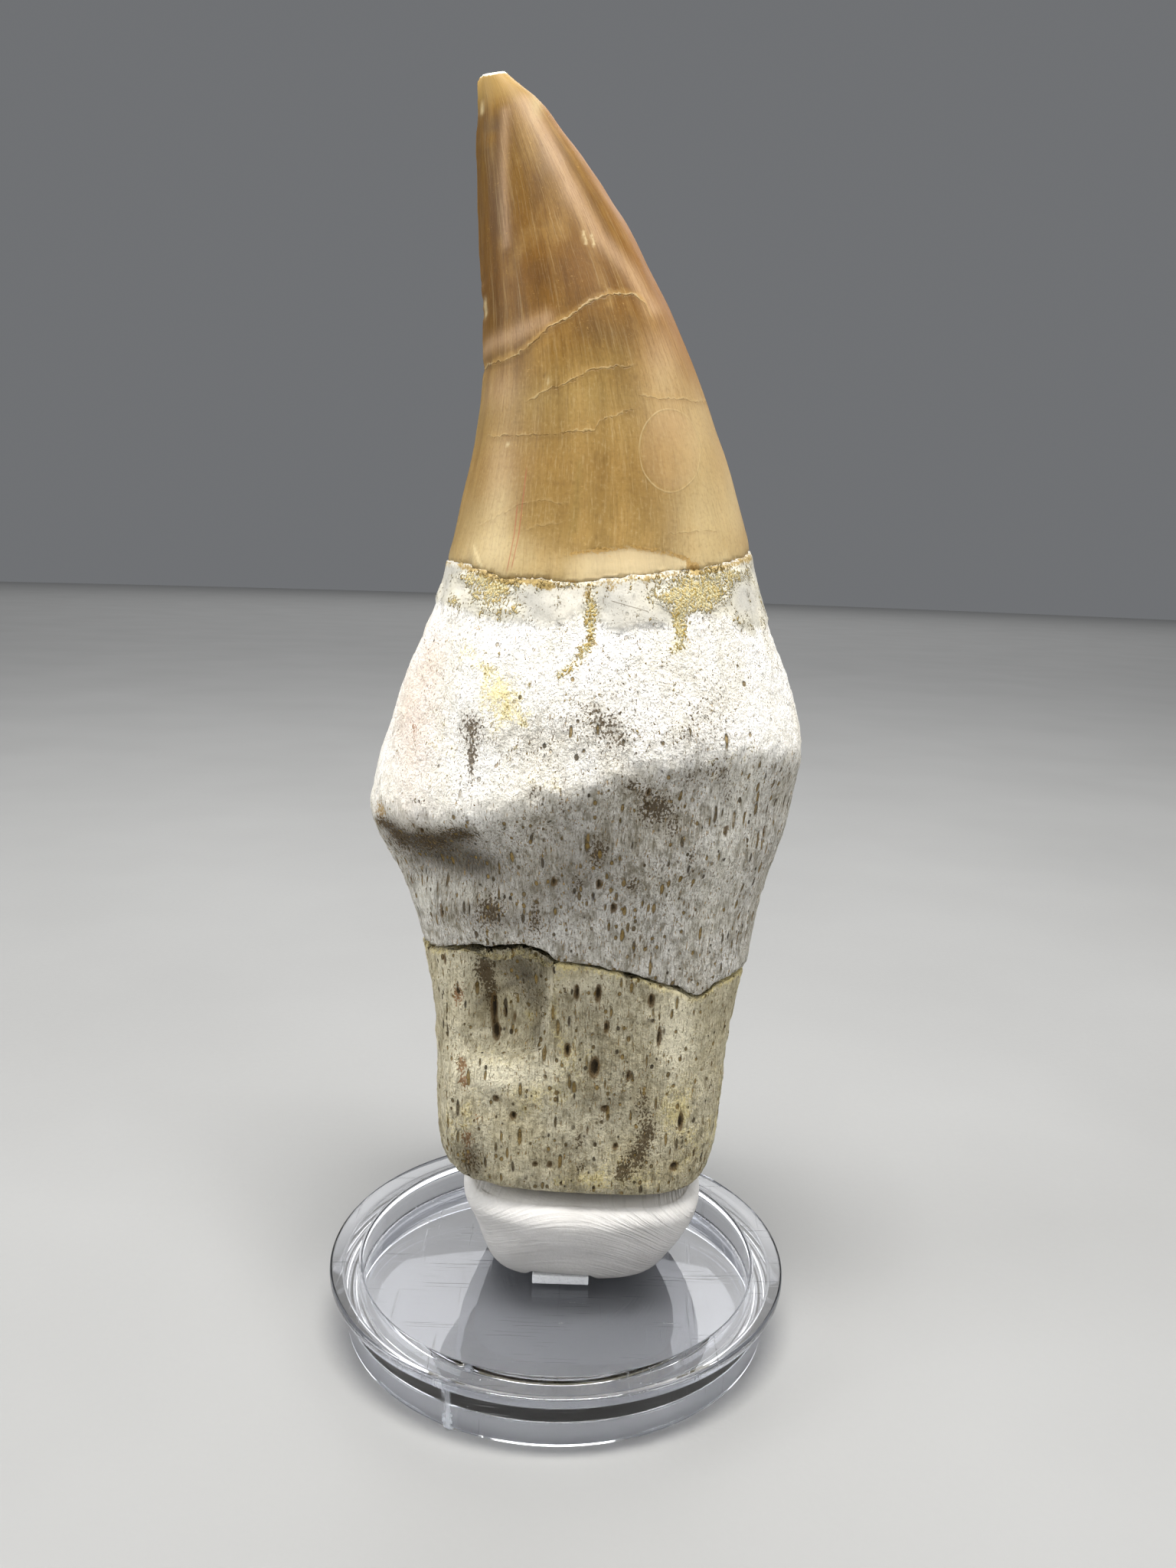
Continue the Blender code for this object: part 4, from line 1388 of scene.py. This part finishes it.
    # Painted highlights on faces that catch the light: the right side below the brow and the rib under the
    # hollow.
    bright: tuple[Mark, ...] = (
        Spot(14.2, 51.0, 2.6, 6.0, 0.45), Spot(12.0, 43.5, 3.0, 3.0, 0.3), Spot(-13.6, 44.0, 1.4, 2.6, 0.7),
        Spot(-9.0, 45.6, 2.4, 1.0, 0.4), Spot(16.2, 57.0, 1.6, 3.0, 0.4),
    )
    sand: tuple[Mark, ...] = (
        Spot(-7.6, 71.9, 1.5, 1.5, 0.8), Spot(-6.2, 73.2, 2.6, 0.6, 0.7), Spot(10.8, 73.2, 2.8, 2.0, 1.3),
        Spot(1.3, 72.0, 0.5, 2.0, 0.8), Spot(-10.9, 71.4, 0.9, 0.7, 0.7), Spot(9.3, 70.4, 0.9, 1.4, 0.7),
        Spot(-9.5, 73.8, 2.0, 0.6, 0.8), Spot(7.6, 72.6, 1.4, 0.8, 0.4), Spot(13.9, 74.8, 1.5, 0.7, 0.8),
        Spot(-1.0, 73.6, 3.0, 0.35, 0.7), Spot(6.0, 74.2, 3.0, 0.3, 0.5), Spot(-5.0, 71.2, 1.0, 0.7, 0.7),
        Trail(((1.4, 71.3), (1.5, 68.8), (0.3, 67.0), (-1.0, 65.9)), 0.5, 0.75),
        Trail(((8.9, 71.5), (9.3, 68.6)), 0.5, 0.7),
    )
    spills: tuple[Mark, ...] = (
        Trail(((1.4, 71.3), (1.5, 68.8), (0.3, 67.0), (-1.0, 65.9)), 0.9, 1.0),
        Trail(((8.9, 71.5), (9.3, 68.6)), 0.9, 1.0),
    )
    dirt: tuple[Mark, ...] = (
        Trail(((-10.6, 74.9), (-8.8, 74.4), (-6.0, 73.8), (-2.6, 73.6)), 0.28, 0.5),
        Spot(-2.6, 73.3, 0.7, 0.3, 0.9), Spot(1.1, 72.6, 0.35, 0.8, 0.7), Spot(1.3, 70.9, 0.3, 0.5, 0.6),
        Spot(1.4, 69.2, 0.35, 0.4, 0.6), Spot(3.0, 73.3, 0.4, 0.35, 0.5), Spot(6.0, 74.0, 0.3, 0.25, 0.6),
        Spot(10.4, 75.0, 0.5, 0.4, 0.8), Spot(-6.0, 72.2, 0.6, 0.4, 0.4), Spot(9.3, 71.6, 0.8, 0.2, 0.5),
    )

    def build(self) -> None:
        """Build the upper root: smooth it down to the break, then give it its relief, its stains and its
        painted highlights and shade.
        """
        form = FineForm("tooth", self.voxel, ((self.cut_height, False),))
        above_break = form.points[:, 2] - along(BREAK, form.points[:, 0])
        form.smooth(self.smoothing, ease(above_break, 0.4, self.break_guard))
        bearing = form.bearings()
        points = form.points
        grain = Grain(self.seed)
        waver = 0.5 * grain.rough(points, 2.6) + 0.5 * grain.rough(points, 0.9, 2)
        under_margin = -over_margin(points, bearing)
        collar = ease(points[:, 2] - along(COLLAR, bearing) - waver, -0.22, 0.22)
        collar *= ease(under_margin, -0.3, 0.1)
        over_brow = points[:, 2] - along(BROW, bearing)
        coarse = np.maximum(ease(0.8 * waver - over_brow, -1.5, 2.5), marked(self.open_bone, points))
        values = self._values(points, under_margin, collar, coarse, grain)
        amounts = self._relief(points, over_brow, collar, values, grain)
        amounts -= self.tuck * ease(-under_margin, -0.02, 0.3)
        amounts -= 0.35 * bell(above_break, 0.55) * ease(grain.rough(points, 2.2), 0.0, 0.5)
        form.lift(amounts * ease(above_break, -0.6, 0.05))
        form.write(values)
        bone = Bone("bone_under_crown", "f8f5ee", "ede8dc", "6d644a", bright="f4f0e2")
        settle_in(form.piece("upper_root", bone.material()), "tooth")

    def _relief(
        self, points: np.ndarray, over_brow: np.ndarray, collar: np.ndarray, values: dict[str, np.ndarray],
        grain: Grain,
    ) -> np.ndarray:
        """Return how far each point moves out for the bone's relief and the chipped collar.

        Args:
            points: The root's points.
            over_brow: Each point's height over the brow.
            collar: 1 on the collar and 0 below it.
            values: What the material reads at each point.
            grain: The noise to use.

        Returns:
            An amount for each point.
        """
        bare = 1.0 - 0.85 * values["filler"]
        amounts = 0.14 * grain.rough(points, 3.4) * (0.4 + 0.6 * bare)
        amounts += 0.10 * grain.rough(points * (1.0, 1.0, 0.3), 0.8) * (0.4 + values["coarse"]) * bare
        amounts += (0.12 * grain.rough(points + 5.0, 1.4) + 0.05 * grain.smooth(points, 0.55)) * bare
        amounts += 0.2 * grain.rough(points + 15.0, 1.2) * bell(over_brow, 3.0)
        plates = ease(grain.rough(points + 11.0, 3.2), -0.03, 0.05)
        plates -= ease(grain.rough(points + 23.0, 2.1), 0.10, 0.18)
        amounts += self.collar_lift * collar * (1.0 + 0.5 * plates)
        amounts += 0.09 * values["sand"] * grain.rough(points, 0.6, 2)
        return amounts - 0.30 * values["pits"]

    def _values(
        self, points: np.ndarray, under_margin: np.ndarray, collar: np.ndarray, coarse: np.ndarray,
        grain: Grain,
    ) -> dict[str, np.ndarray]:
        """Return what the bone's material reads at each point.

        Args:
            points: The root's points.
            under_margin: How far each point is below the enamel's lower edge.
            collar: 1 on the collar and 0 below it.
            coarse: 1 on the coarse bone.
            grain: The noise to use.

        Returns:
            The values by name.
        """
        patchy = grain.rough(points + 40.0, 2.4)
        behind = 1.0 - front_side(points)
        sand = marked(self.sand, points) + behind * ease(patchy, -0.1, 0.3)
        sand = np.clip(sand + 0.45 * patchy, 0.0, 1.0) * ease(collar + marked(self.spills, points), 0.2, 0.9)
        values = {
            name: marked(getattr(self, name), points)
            for name in ("dirt", "shadow", "bright", "lemon", "ochre", "rust", "blush", "soot")
        }
        values["dirt"] += bell(under_margin - 0.3, 0.4) * (0.6 + 0.7 * patchy)
        values["lemon"] += 0.5 * behind * ease(grain.rough(points + 80.0, 7.0), 0.15, 0.6)
        values["soot"] += 0.6 * behind * coarse * ease(grain.rough(points + 60.0, 4.0), 0.2, 0.6)
        values["sand"] = sand
        values["filler"] = collar * (1.0 - 0.8 * ease(sand, 0.3, 0.7))
        values["coarse"] = coarse
        values["pits"] = grain.pits(points, (0.8, 0.8, 2.2), 0.04) * ease(coarse, 0.4, 1.0)
        return values


@dataclass
class RootEnd:
    """The lower piece of the root, yellower, with long open pores and a shallow scoop."""

    voxel: float = 0.23
    smoothing: int = 30
    seed: int = 37
    break_guard: float = 2.0
    foot_guard: float = 1.2
    scoop_depth: float = 0.85
    scoop_lip: tuple[Place, ...] = ((-12.0, 28.6), (-9.0, 29.0), (-6.0, 29.3), (-3.4, 29.6), (-0.4, 30.2))
    scoop_side: tuple[Place, ...] = ((28.0, -1.8), (29.9, -1.6), (33.0, -1.2), (38.7, -1.0), (41.0, 0.4))
    scoop_left: float = -9.3
    holes: tuple[Spot, ...] = (
        Spot(3.1, 28.7, 0.42, 0.9, 1.0), Spot(0.5, 30.4, 0.25, 0.6, 0.9), Spot(4.1, 32.9, 0.2, 0.6, 0.8),
        Spot(1.2, 36.3, 0.2, 0.7, 0.9), Spot(3.2, 36.3, 0.22, 0.8, 0.9), Spot(8.2, 35.6, 0.25, 0.6, 0.9),
        Spot(9.1, 31.8, 0.2, 0.9, 0.8), Spot(4.2, 24.4, 0.35, 0.3, 0.8), Spot(-4.5, 23.3, 0.3, 0.35, 0.8),
        Spot(-6.2, 24.9, 0.3, 0.3, 0.7), Spot(11.7, 22.5, 0.2, 0.9, 0.9), Spot(11.3, 17.8, 0.4, 0.4, 0.9),
        Spot(-2.3, 18.3, 0.25, 0.25, 0.8), Spot(-0.9, 18.3, 0.25, 0.25, 0.8),
        Spot(5.4, 20.4, 0.25, 0.35, 0.7), Spot(6.4, 27.9, 0.2, 0.5, 0.7), Spot(-6.8, 33.2, 0.25, 1.3, 0.9),
        Spot(-6.6, 31.1, 0.3, 0.7, 0.9),
    )
    soot: tuple[Mark, ...] = (
        Spot(-7.6, 37.4, 1.0, 1.7, 1.0), Spot(-7.0, 34.5, 0.7, 2.0, 0.7), Spot(7.8, 25.0, 0.7, 1.6, 0.6),
        Spot(8.5, 22.0, 0.9, 1.6, 0.9), Spot(7.5, 19.6, 1.0, 1.6, 0.9), Spot(6.1, 17.7, 0.8, 1.4, 0.9),
        Spot(1.9, 21.1, 0.4, 1.0, 0.7), Spot(2.0, 18.2, 0.4, 1.0, 0.6), Spot(-8.5, 17.5, 1.6, 1.6, 0.6),
        Spot(-4.0, 35.5, 1.6, 1.6, 0.3), Spot(0.0, 36.5, 0.6, 1.2, 0.4), Spot(-2.2, 34.0, 0.7, 1.8, 0.4),
    )
    shadow: tuple[Mark, ...] = (
        Spot(-4.4, 38.0, 2.8, 1.5, 0.9), Spot(-7.2, 35.0, 0.8, 3.0, 0.3), Spot(-3.0, 35.4, 1.6, 2.4, 0.7),
        Spot(-2.4, 31.3, 1.0, 1.6, 0.6), Spot(2.0, 34.0, 2.6, 3.4, 0.3), Spot(5.6, 25.6, 3.6, 3.6, 0.35),
        Spot(-8.6, 18.0, 1.6, 2.8, 0.85), Spot(1.0, 20.5, 2.4, 2.6, 0.25),
        Trail(((-8.4, 33.6), (-5.0, 36.2)), 0.4, 0.5),
    )
    rust: tuple[Mark, ...] = (
        Spot(-10.1, 34.7, 0.6, 1.2, 0.9), Spot(-9.6, 27.7, 0.5, 0.9, 1.0), Spot(-9.4, 25.9, 0.5, 0.7, 0.9),
        Spot(-9.0, 20.2, 0.6, 0.9, 0.9), Spot(-8.9, 18.1, 0.6, 1.0, 0.8), Spot(-8.0, 22.5, 0.4, 0.8, 0.5),
    )
    # Painted highlights on the scoop's lit lip, the ridges and the right side.
    bright: tuple[Mark, ...] = (
        Spot(-6.0, 27.4, 3.4, 1.9, 0.9), Spot(-1.6, 28.6, 2.0, 2.4, 0.6), Spot(-10.2, 29.0, 1.2, 9.0, 0.5),
        Spot(10.6, 32.0, 2.2, 6.0, 0.9), Spot(2.0, 37.2, 4.0, 0.9, 0.6), Spot(-9.0, 38.0, 2.0, 0.5, 0.5),
        Trail(((-1.4, 37.0), (-1.6, 33.0), (-2.2, 30.5)), 0.5, 0.7),
        Trail(((-8.6, 30.6), (-6.6, 30.9)), 0.4, 0.7),
    )
    # Yellow stains; those on the scoop's lip and the right side also lighten them as painted highlight.
    lemon: tuple[Mark, ...] = (
        Spot(10.5, 33.0, 2.2, 4.5, 0.5), Spot(0.0, 29.0, 6.0, 5.0, 0.3), Spot(-3.0, 26.0, 3.0, 2.0, 0.4),
        Spot(-6.6, 28.4, 2.6, 1.2, 0.45), Trail(((-1.0, 37.6), (-0.9, 33.0), (0.2, 30.0)), 0.5, 0.4),
        Spot(4.0, 17.0, 4.0, 1.8, 0.5), Spot(12.0, 24.0, 1.6, 5.0, 0.5),
    )

    def build(self) -> None:
        """Build the root end: smooth it up to the break, then give it its scoop, relief, stains and painted
        highlights and shade.
        """
        form = FineForm("root_end", self.voxel)
        below_break = along(BREAK, form.points[:, 0]) - form.points[:, 2]
        over_foot = form.points[:, 2] - ROOT_FOOT_HEIGHT
        free = ease(below_break, 0.4, self.break_guard) * ease(over_foot, 0.5, self.foot_guard)
        form.smooth(self.smoothing, free)
        points = form.points
        grain = Grain(self.seed)
        pits = self._pits(points, grain)
        amounts = 0.22 * grain.rough(points, 3.0) + 0.12 * grain.rough(points + 5.0, 1.3)
        amounts += 0.14 * grain.rough(points * (1.0, 1.0, 0.25), 0.8) + 0.06 * grain.smooth(points, 0.5)
        amounts -= 0.40 * pits + self.scoop_depth * self._scoop(points, grain)
        amounts -= 0.45 * bell(below_break, 0.6) * ease(grain.rough(points, 2.0), 0.0, 0.5)
        form.lift(amounts * ease(below_break, -0.6, 0.05) * ease(over_foot, 0.3, 1.2))
        behind = 1.0 - front_side(points)
        blotch = grain.rough(points + 30.0, 5.0)
        # Painted highlight: a yellowish lit rim along the top of the piece, under the break.
        painted_lit_rim = 0.6 * bell(below_break - 0.2, 0.45)
        values = {
            "pits": pits,
            "coarse": 0.55 + 0.45 * ease(grain.rough(points, 6.0), -0.3, 0.5),
            "lemon": marked(self.lemon, points) + 0.4 * ease(blotch, 0.0, 0.6) + painted_lit_rim,
            "rust": marked(self.rust, points) + 0.6 * behind * ease(blotch, 0.35, 0.6),
            "soot": marked(self.soot, points) + 0.7 * behind * ease(-blotch, 0.2, 0.6),
            "shadow": marked(self.shadow, points),
            "bright": marked(self.bright, points),
        }
        form.write(values)
        bone = Bone(
            "bone_of_root_end", "ece3c6", "d4c9a8", "746845", pore="6a4f22", pore_share=0.5, relief=0.6
        )
        settle_in(form.piece("root_end_bone", bone.material()), "root_end")

    def _scoop(self, points: np.ndarray, grain: Grain) -> np.ndarray:
        """Find the sharp-edged scoop under the break.

        Args:
            points: The points, one to a row.
            grain: The noise to use.

        Returns:
            1 inside the scoop and 0 around it.
        """
        waver = 0.9 * grain.rough(points + 50.0, 2.0)
        over_lip = points[:, 2] - along(self.scoop_lip, points[:, 0]) + waver
        inside = along(self.scoop_side, points[:, 2]) - points[:, 0] + waver
        sides = ease(inside, 0.0, 0.6) * ease(points[:, 0] - self.scoop_left + waver, -0.8, 2.4)
        return ease(over_lip, 0.0, 0.5) * sides * front_side(points)

    def _pits(self, points: np.ndarray, grain: Grain) -> np.ndarray:
        """Return how deep each point lies in the open pores."""
        long_ones = grain.pits(points, (0.75, 0.75, 2.6), 0.05)
        return np.maximum(long_ones, np.clip(1.4 * marked(self.holes, points), 0.0, 1.3))


@dataclass
class PuttyBed:
    """The lump of putty that the root stands in, pressed by fingers."""

    voxel: float = 0.3
    smoothing: int = 12
    seed: int = 43
    rounding: float = 1.1
    ridge_spacing: float = 0.62
    presses: tuple[Spot, ...] = (
        Spot(-6.5, 10.0, 2.8, 2.4, 0.35), Spot(9.5, 10.5, 3.2, 2.2, 0.30), Spot(2.0, 7.5, 4.0, 1.6, 0.2),
    )

    def build(self) -> None:
        """Build the putty: round its rim, press it and sweep ridges over its right side."""
        form = FineForm("putty", self.voxel)
        low, high = (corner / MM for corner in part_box("putty"))
        over_foot = form.points[:, 2] - low.z
        form.smooth(self.smoothing, ease(over_foot, 0.1, 0.8))
        grain = Grain(self.seed)
        points = form.points
        amounts = 0.10 * grain.rough(points, 4.0) - marked(self.presses, points)
        sweep = points[:, 2] + SWEEP * (points[:, 0] - 1.0) ** 2
        ridges = np.sin(sweep * 2.0 * math.pi / self.ridge_spacing + 2.0 * grain.smooth(points, 3.0))
        amounts += 0.035 * ridges * ease(points[:, 0], 5.0, 8.0) * ease(grain.smooth(points, 2.5), -0.4, 0.4)
        inner = ease(high.z - 0.3 - points[:, 2], 0.0, 1.0)
        amounts = amounts * inner - self.rounding * ease(points[:, 2], high.z - 3.4, high.z - 0.3)
        form.lift(amounts * ease(over_foot, 0.2, 1.2))
        settle_in(form.piece("putty_bed", Putty().material()), "putty")


@dataclass
class TapePad:
    """The strip of foam tape under the putty, with straight cut ends."""

    bevel: float = 0.12
    cuts: int = 7

    def build(self) -> None:
        """Build the tape as a box with softened edges."""
        low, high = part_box("tape_pad")
        strip = bmesh.new()
        bmesh.ops.create_cube(strip, size=1.0)
        bmesh.ops.scale(strip, vec=high - low, verts=strip.verts)
        bmesh.ops.translate(strip, vec=(low + high) / 2.0, verts=strip.verts)
        bmesh.ops.bevel(
            strip, geom=strip.edges[:], offset=self.bevel * MM, affect="EDGES", segments=3, profile=0.5,
            material=-1,
        )
        bmesh.ops.subdivide_edges(strip, edges=strip.edges[:], cuts=self.cuts, use_grid_fill=True)
        bmesh.ops.recalc_face_normals(strip, faces=strip.faces)
        settle_in(make_piece("tape", mesh_of(strip, "tape"), FoamTape().material()), "tape_pad")


@dataclass
class Dish:
    """The clear round stand: a shallow moulded dish with a wide rim, a thin floor and a hollow foot."""

    flange_radius: float = 23.0
    flange_underside: float = 5.1
    rim_top: float = 6.0
    wall_radius: float = 21.5
    wall_inner_radius: float = 19.8
    foot_radius: float = 21.3
    foot_inner_radius: float = 20.4
    floor_top: float = 3.2
    floor_underside: float = 2.2
    corner: float = 0.35
    corner_points: int = 5
    steps: int = 240
    gate_bearing: float = -24.6
    gate_half_width: float = 0.5
    gate_bulge: float = 0.25

    def _outline(self) -> list[Place]:
        """List the section's corners from the foot of the inner wall outwards and back under the floor.

        Returns:
            A radius and a height for each corner.
        """
        return [
            (self.wall_inner_radius, self.floor_top), (self.wall_inner_radius, self.rim_top),
            (self.flange_radius, self.rim_top), (self.flange_radius, self.flange_underside),
            (self.wall_radius, self.flange_underside - 0.5), (self.foot_radius, 0.0),
            (self.foot_inner_radius, 0.0), (self.foot_inner_radius, self.floor_underside),
        ]

    def _rounded(self) -> list[Place]:
        """Round every corner of the section.

        Returns:
            The section's places from its axis outwards and back again.
        """
        corners = [(0.0, self.floor_top), *self._outline(), (0.0, self.floor_underside)]
        made = [corners[0]]
        for before, here, after in zip(corners, corners[1:], corners[2:]):
            middle = Vector((*here, 0.0))
            arms = [Vector((*other, 0.0)) - middle for other in (before, after)]
            reach = min(self.corner, *(0.45 * arm.length for arm in arms))
            start, end = (middle + arm.normalized() * reach for arm in arms)
            for step in range(self.corner_points + 1):
                part = step / self.corner_points
                place = start.lerp(middle, part).lerp(middle.lerp(end, part), part)
                made.append((place.x, place.y))
        return [*made, corners[-1]]

    def build(self) -> None:
        """Build the stand by turning its section round its axis."""
        turned = bmesh.new()
        verts = [turned.verts.new((radius * MM, 0.0, height * MM)) for radius, height in self._rounded()]
        edges = [turned.edges.new(pair) for pair in zip(verts, verts[1:])]
        bmesh.ops.spin(
            turned, geom=[*verts, *edges], cent=(0, 0, 0), axis=(0, 0, 1), angle=2.0 * math.pi,
            steps=self.steps, use_merge=True, use_duplicate=False,
        )
        bmesh.ops.remove_doubles(turned, verts=turned.verts, dist=WELD)
        bmesh.ops.recalc_face_normals(turned, faces=turned.faces)
        mesh = mesh_of(turned, "stand")
        self._mark_gate(mesh)
        settle_in(make_piece("stand", mesh, ClearPlastic().material()), "dish")

    def _mark_gate(self, mesh: bpy.types.Mesh) -> None:
        """Raise and frost the strip where the plastic entered the mould.

        Args:
            mesh: The stand's mesh.
        """
        points = read_rows(mesh, "co") / MM
        radius = np.hypot(points[:, 0], points[:, 1])
        bearing = np.degrees(np.arctan2(points[:, 0], -points[:, 1]))
        away = np.radians(bearing - self.gate_bearing) * self.foot_radius
        on_wall = (radius > self.foot_radius - 0.5) * (points[:, 2] < self.rim_top - 0.2)
        strip = bell(away, self.gate_half_width) * on_wall
        out = strip * self.gate_bulge * ease(self.flange_radius - radius, 0.0, 0.6)
        points[:, :2] *= (1.0 + out / np.maximum(radius, 1.0))[:, None]
        mesh.vertices.foreach_set("co", (points * MM).astype(np.float32).ravel())
        write_values(mesh, "frost", strip)
        mesh.update()


class LightName(Enum):
    """The lights of the studio."""

    KEY = "key"
    LEFT = "left"
    RIGHT = "right"
    FRONT = "front"
    BACK = "back"
    FLOOR = "floor"


@dataclass(frozen=True)
class SoftLight:
    """A soft oblong light that looks at the tooth."""

    name: LightName
    azimuth: float
    elevation: float
    distance: float
    size: tuple[float, float]
    power: float
    colour: Colour = (1.0, 1.0, 1.0)
    aim: tuple[float, float, float] = (0.0, 0.0, 0.06)

    def build(self) -> None:
        """Put the light in its place."""
        turn, rise = math.radians(self.azimuth), math.radians(self.elevation)
        away = Vector((math.sin(turn) * math.cos(rise), -math.cos(turn) * math.cos(rise), math.sin(rise)))
        data = bpy.data.lights.new(self.name.value, "AREA")
        data.shape = "RECTANGLE"
        data.size, data.size_y = self.size
        data.energy = self.power
        data.color = self.colour
        made = bpy.data.objects.new(self.name.value, data)
        made.location = Vector(self.aim) + away * self.distance
        made.rotation_euler = away.to_track_quat("Z", "Y").to_euler()
        bpy.context.scene.collection.objects.link(made)


@dataclass
class Studio:
    """The pale floor, the soft lights, the air's own light and the camera."""

    floor_radius: float = 3.0
    floor_tone: str = "8e8e8d"
    air_tone: Colour = (0.62, 0.64, 0.67)
    air_strength: float = 0.26
    lights: tuple[SoftLight, ...] = (
        SoftLight(LightName.KEY, 4.0, 78.0, 0.5, (0.34, 0.10), 4.4, (1.0, 0.985, 0.96)),
        SoftLight(LightName.LEFT, -78.0, 18.0, 0.6, (0.3, 0.4), 2.2, (0.97, 0.985, 1.0)),
        SoftLight(LightName.RIGHT, 56.0, 22.0, 0.6, (0.24, 0.4), 1.5, (0.98, 0.99, 1.0)),
        SoftLight(LightName.FRONT, -14.0, 30.0, 0.75, (0.35, 0.2), 0.75, aim=(0.0, 0.0, 0.03)),
        SoftLight(LightName.BACK, 165.0, 40.0, 0.7, (0.4, 0.4), 0.3),
        SoftLight(LightName.FLOOR, 180.0, 62.0, 1.6, (2.4, 1.2), 22.0, aim=(0.0, 1.1, 0.0)),
    )
    camera_place: tuple[float, float, float] = (1.61, -111.2, 75.0)
    camera_pitch: float = -10.38
    camera_roll: float = 1.89
    lens: float = 27.04

    def build(self) -> None:
        """Make everything that isn't the object."""
        self._floor()
        for light in self.lights:
            light.build()
        self._air()
        self._camera()
        view = bpy.context.scene.view_settings
        view.view_transform = "Standard"
        view.look = "None"
        LOG.info("studio: floor, %d lights and camera", len(self.lights))

    def _floor(self) -> None:
        """Make the floor."""
        graph = Graph("pale_floor")
        graph.colour = graph.mix(graph.noise((60.0, 60.0, 60.0)) * 0.08, self.floor_tone, "ffffff")
        grain = graph.noise((0.8, 0.8, 0.8))
        material = graph.dressed({"Roughness": 0.55 + 0.1 * grain, "Normal": graph.bump(grain, 0.02)})
        disc = bmesh.new()
        bmesh.ops.create_circle(disc, cap_ends=True, segments=96, radius=self.floor_radius)
        make_piece("floor", mesh_of(disc, "floor"), material)

    def _air(self) -> None:
        """Light the scene evenly from all round."""
        world = bpy.data.worlds.new("air")
        world.use_nodes = True
        background = world.node_tree.nodes["Background"]
        background.inputs["Color"].default_value = (*self.air_tone, 1.0)
        background.inputs["Strength"].default_value = self.air_strength
        bpy.context.scene.world = world

    def _camera(self) -> None:
        """Set the camera at the photograph's viewing angle."""
        data = bpy.data.cameras.new("camera")
        data.lens = self.lens
        data.clip_start = 0.005
        made = bpy.data.objects.new("camera", data)
        pitch = Matrix.Rotation(math.radians(90.0 + self.camera_pitch), 4, "X")
        roll = Matrix.Rotation(math.radians(self.camera_roll), 4, "Z")
        made.matrix_world = Matrix.Translation(Vector(self.camera_place) * MM) @ pitch @ roll
        bpy.context.scene.collection.objects.link(made)
        bpy.context.scene.camera = made


def main() -> None:
    """Build and dress every piece, then the studio around them."""
    logging.basicConfig(level=logging.INFO, format="%(name)s: %(message)s")
    for part in (Crown(), UpperRoot(), RootEnd(), PuttyBed(), TapePad(), Dish()):
        part.build()
    Studio().build()


if __name__ == "__main__":
    main()
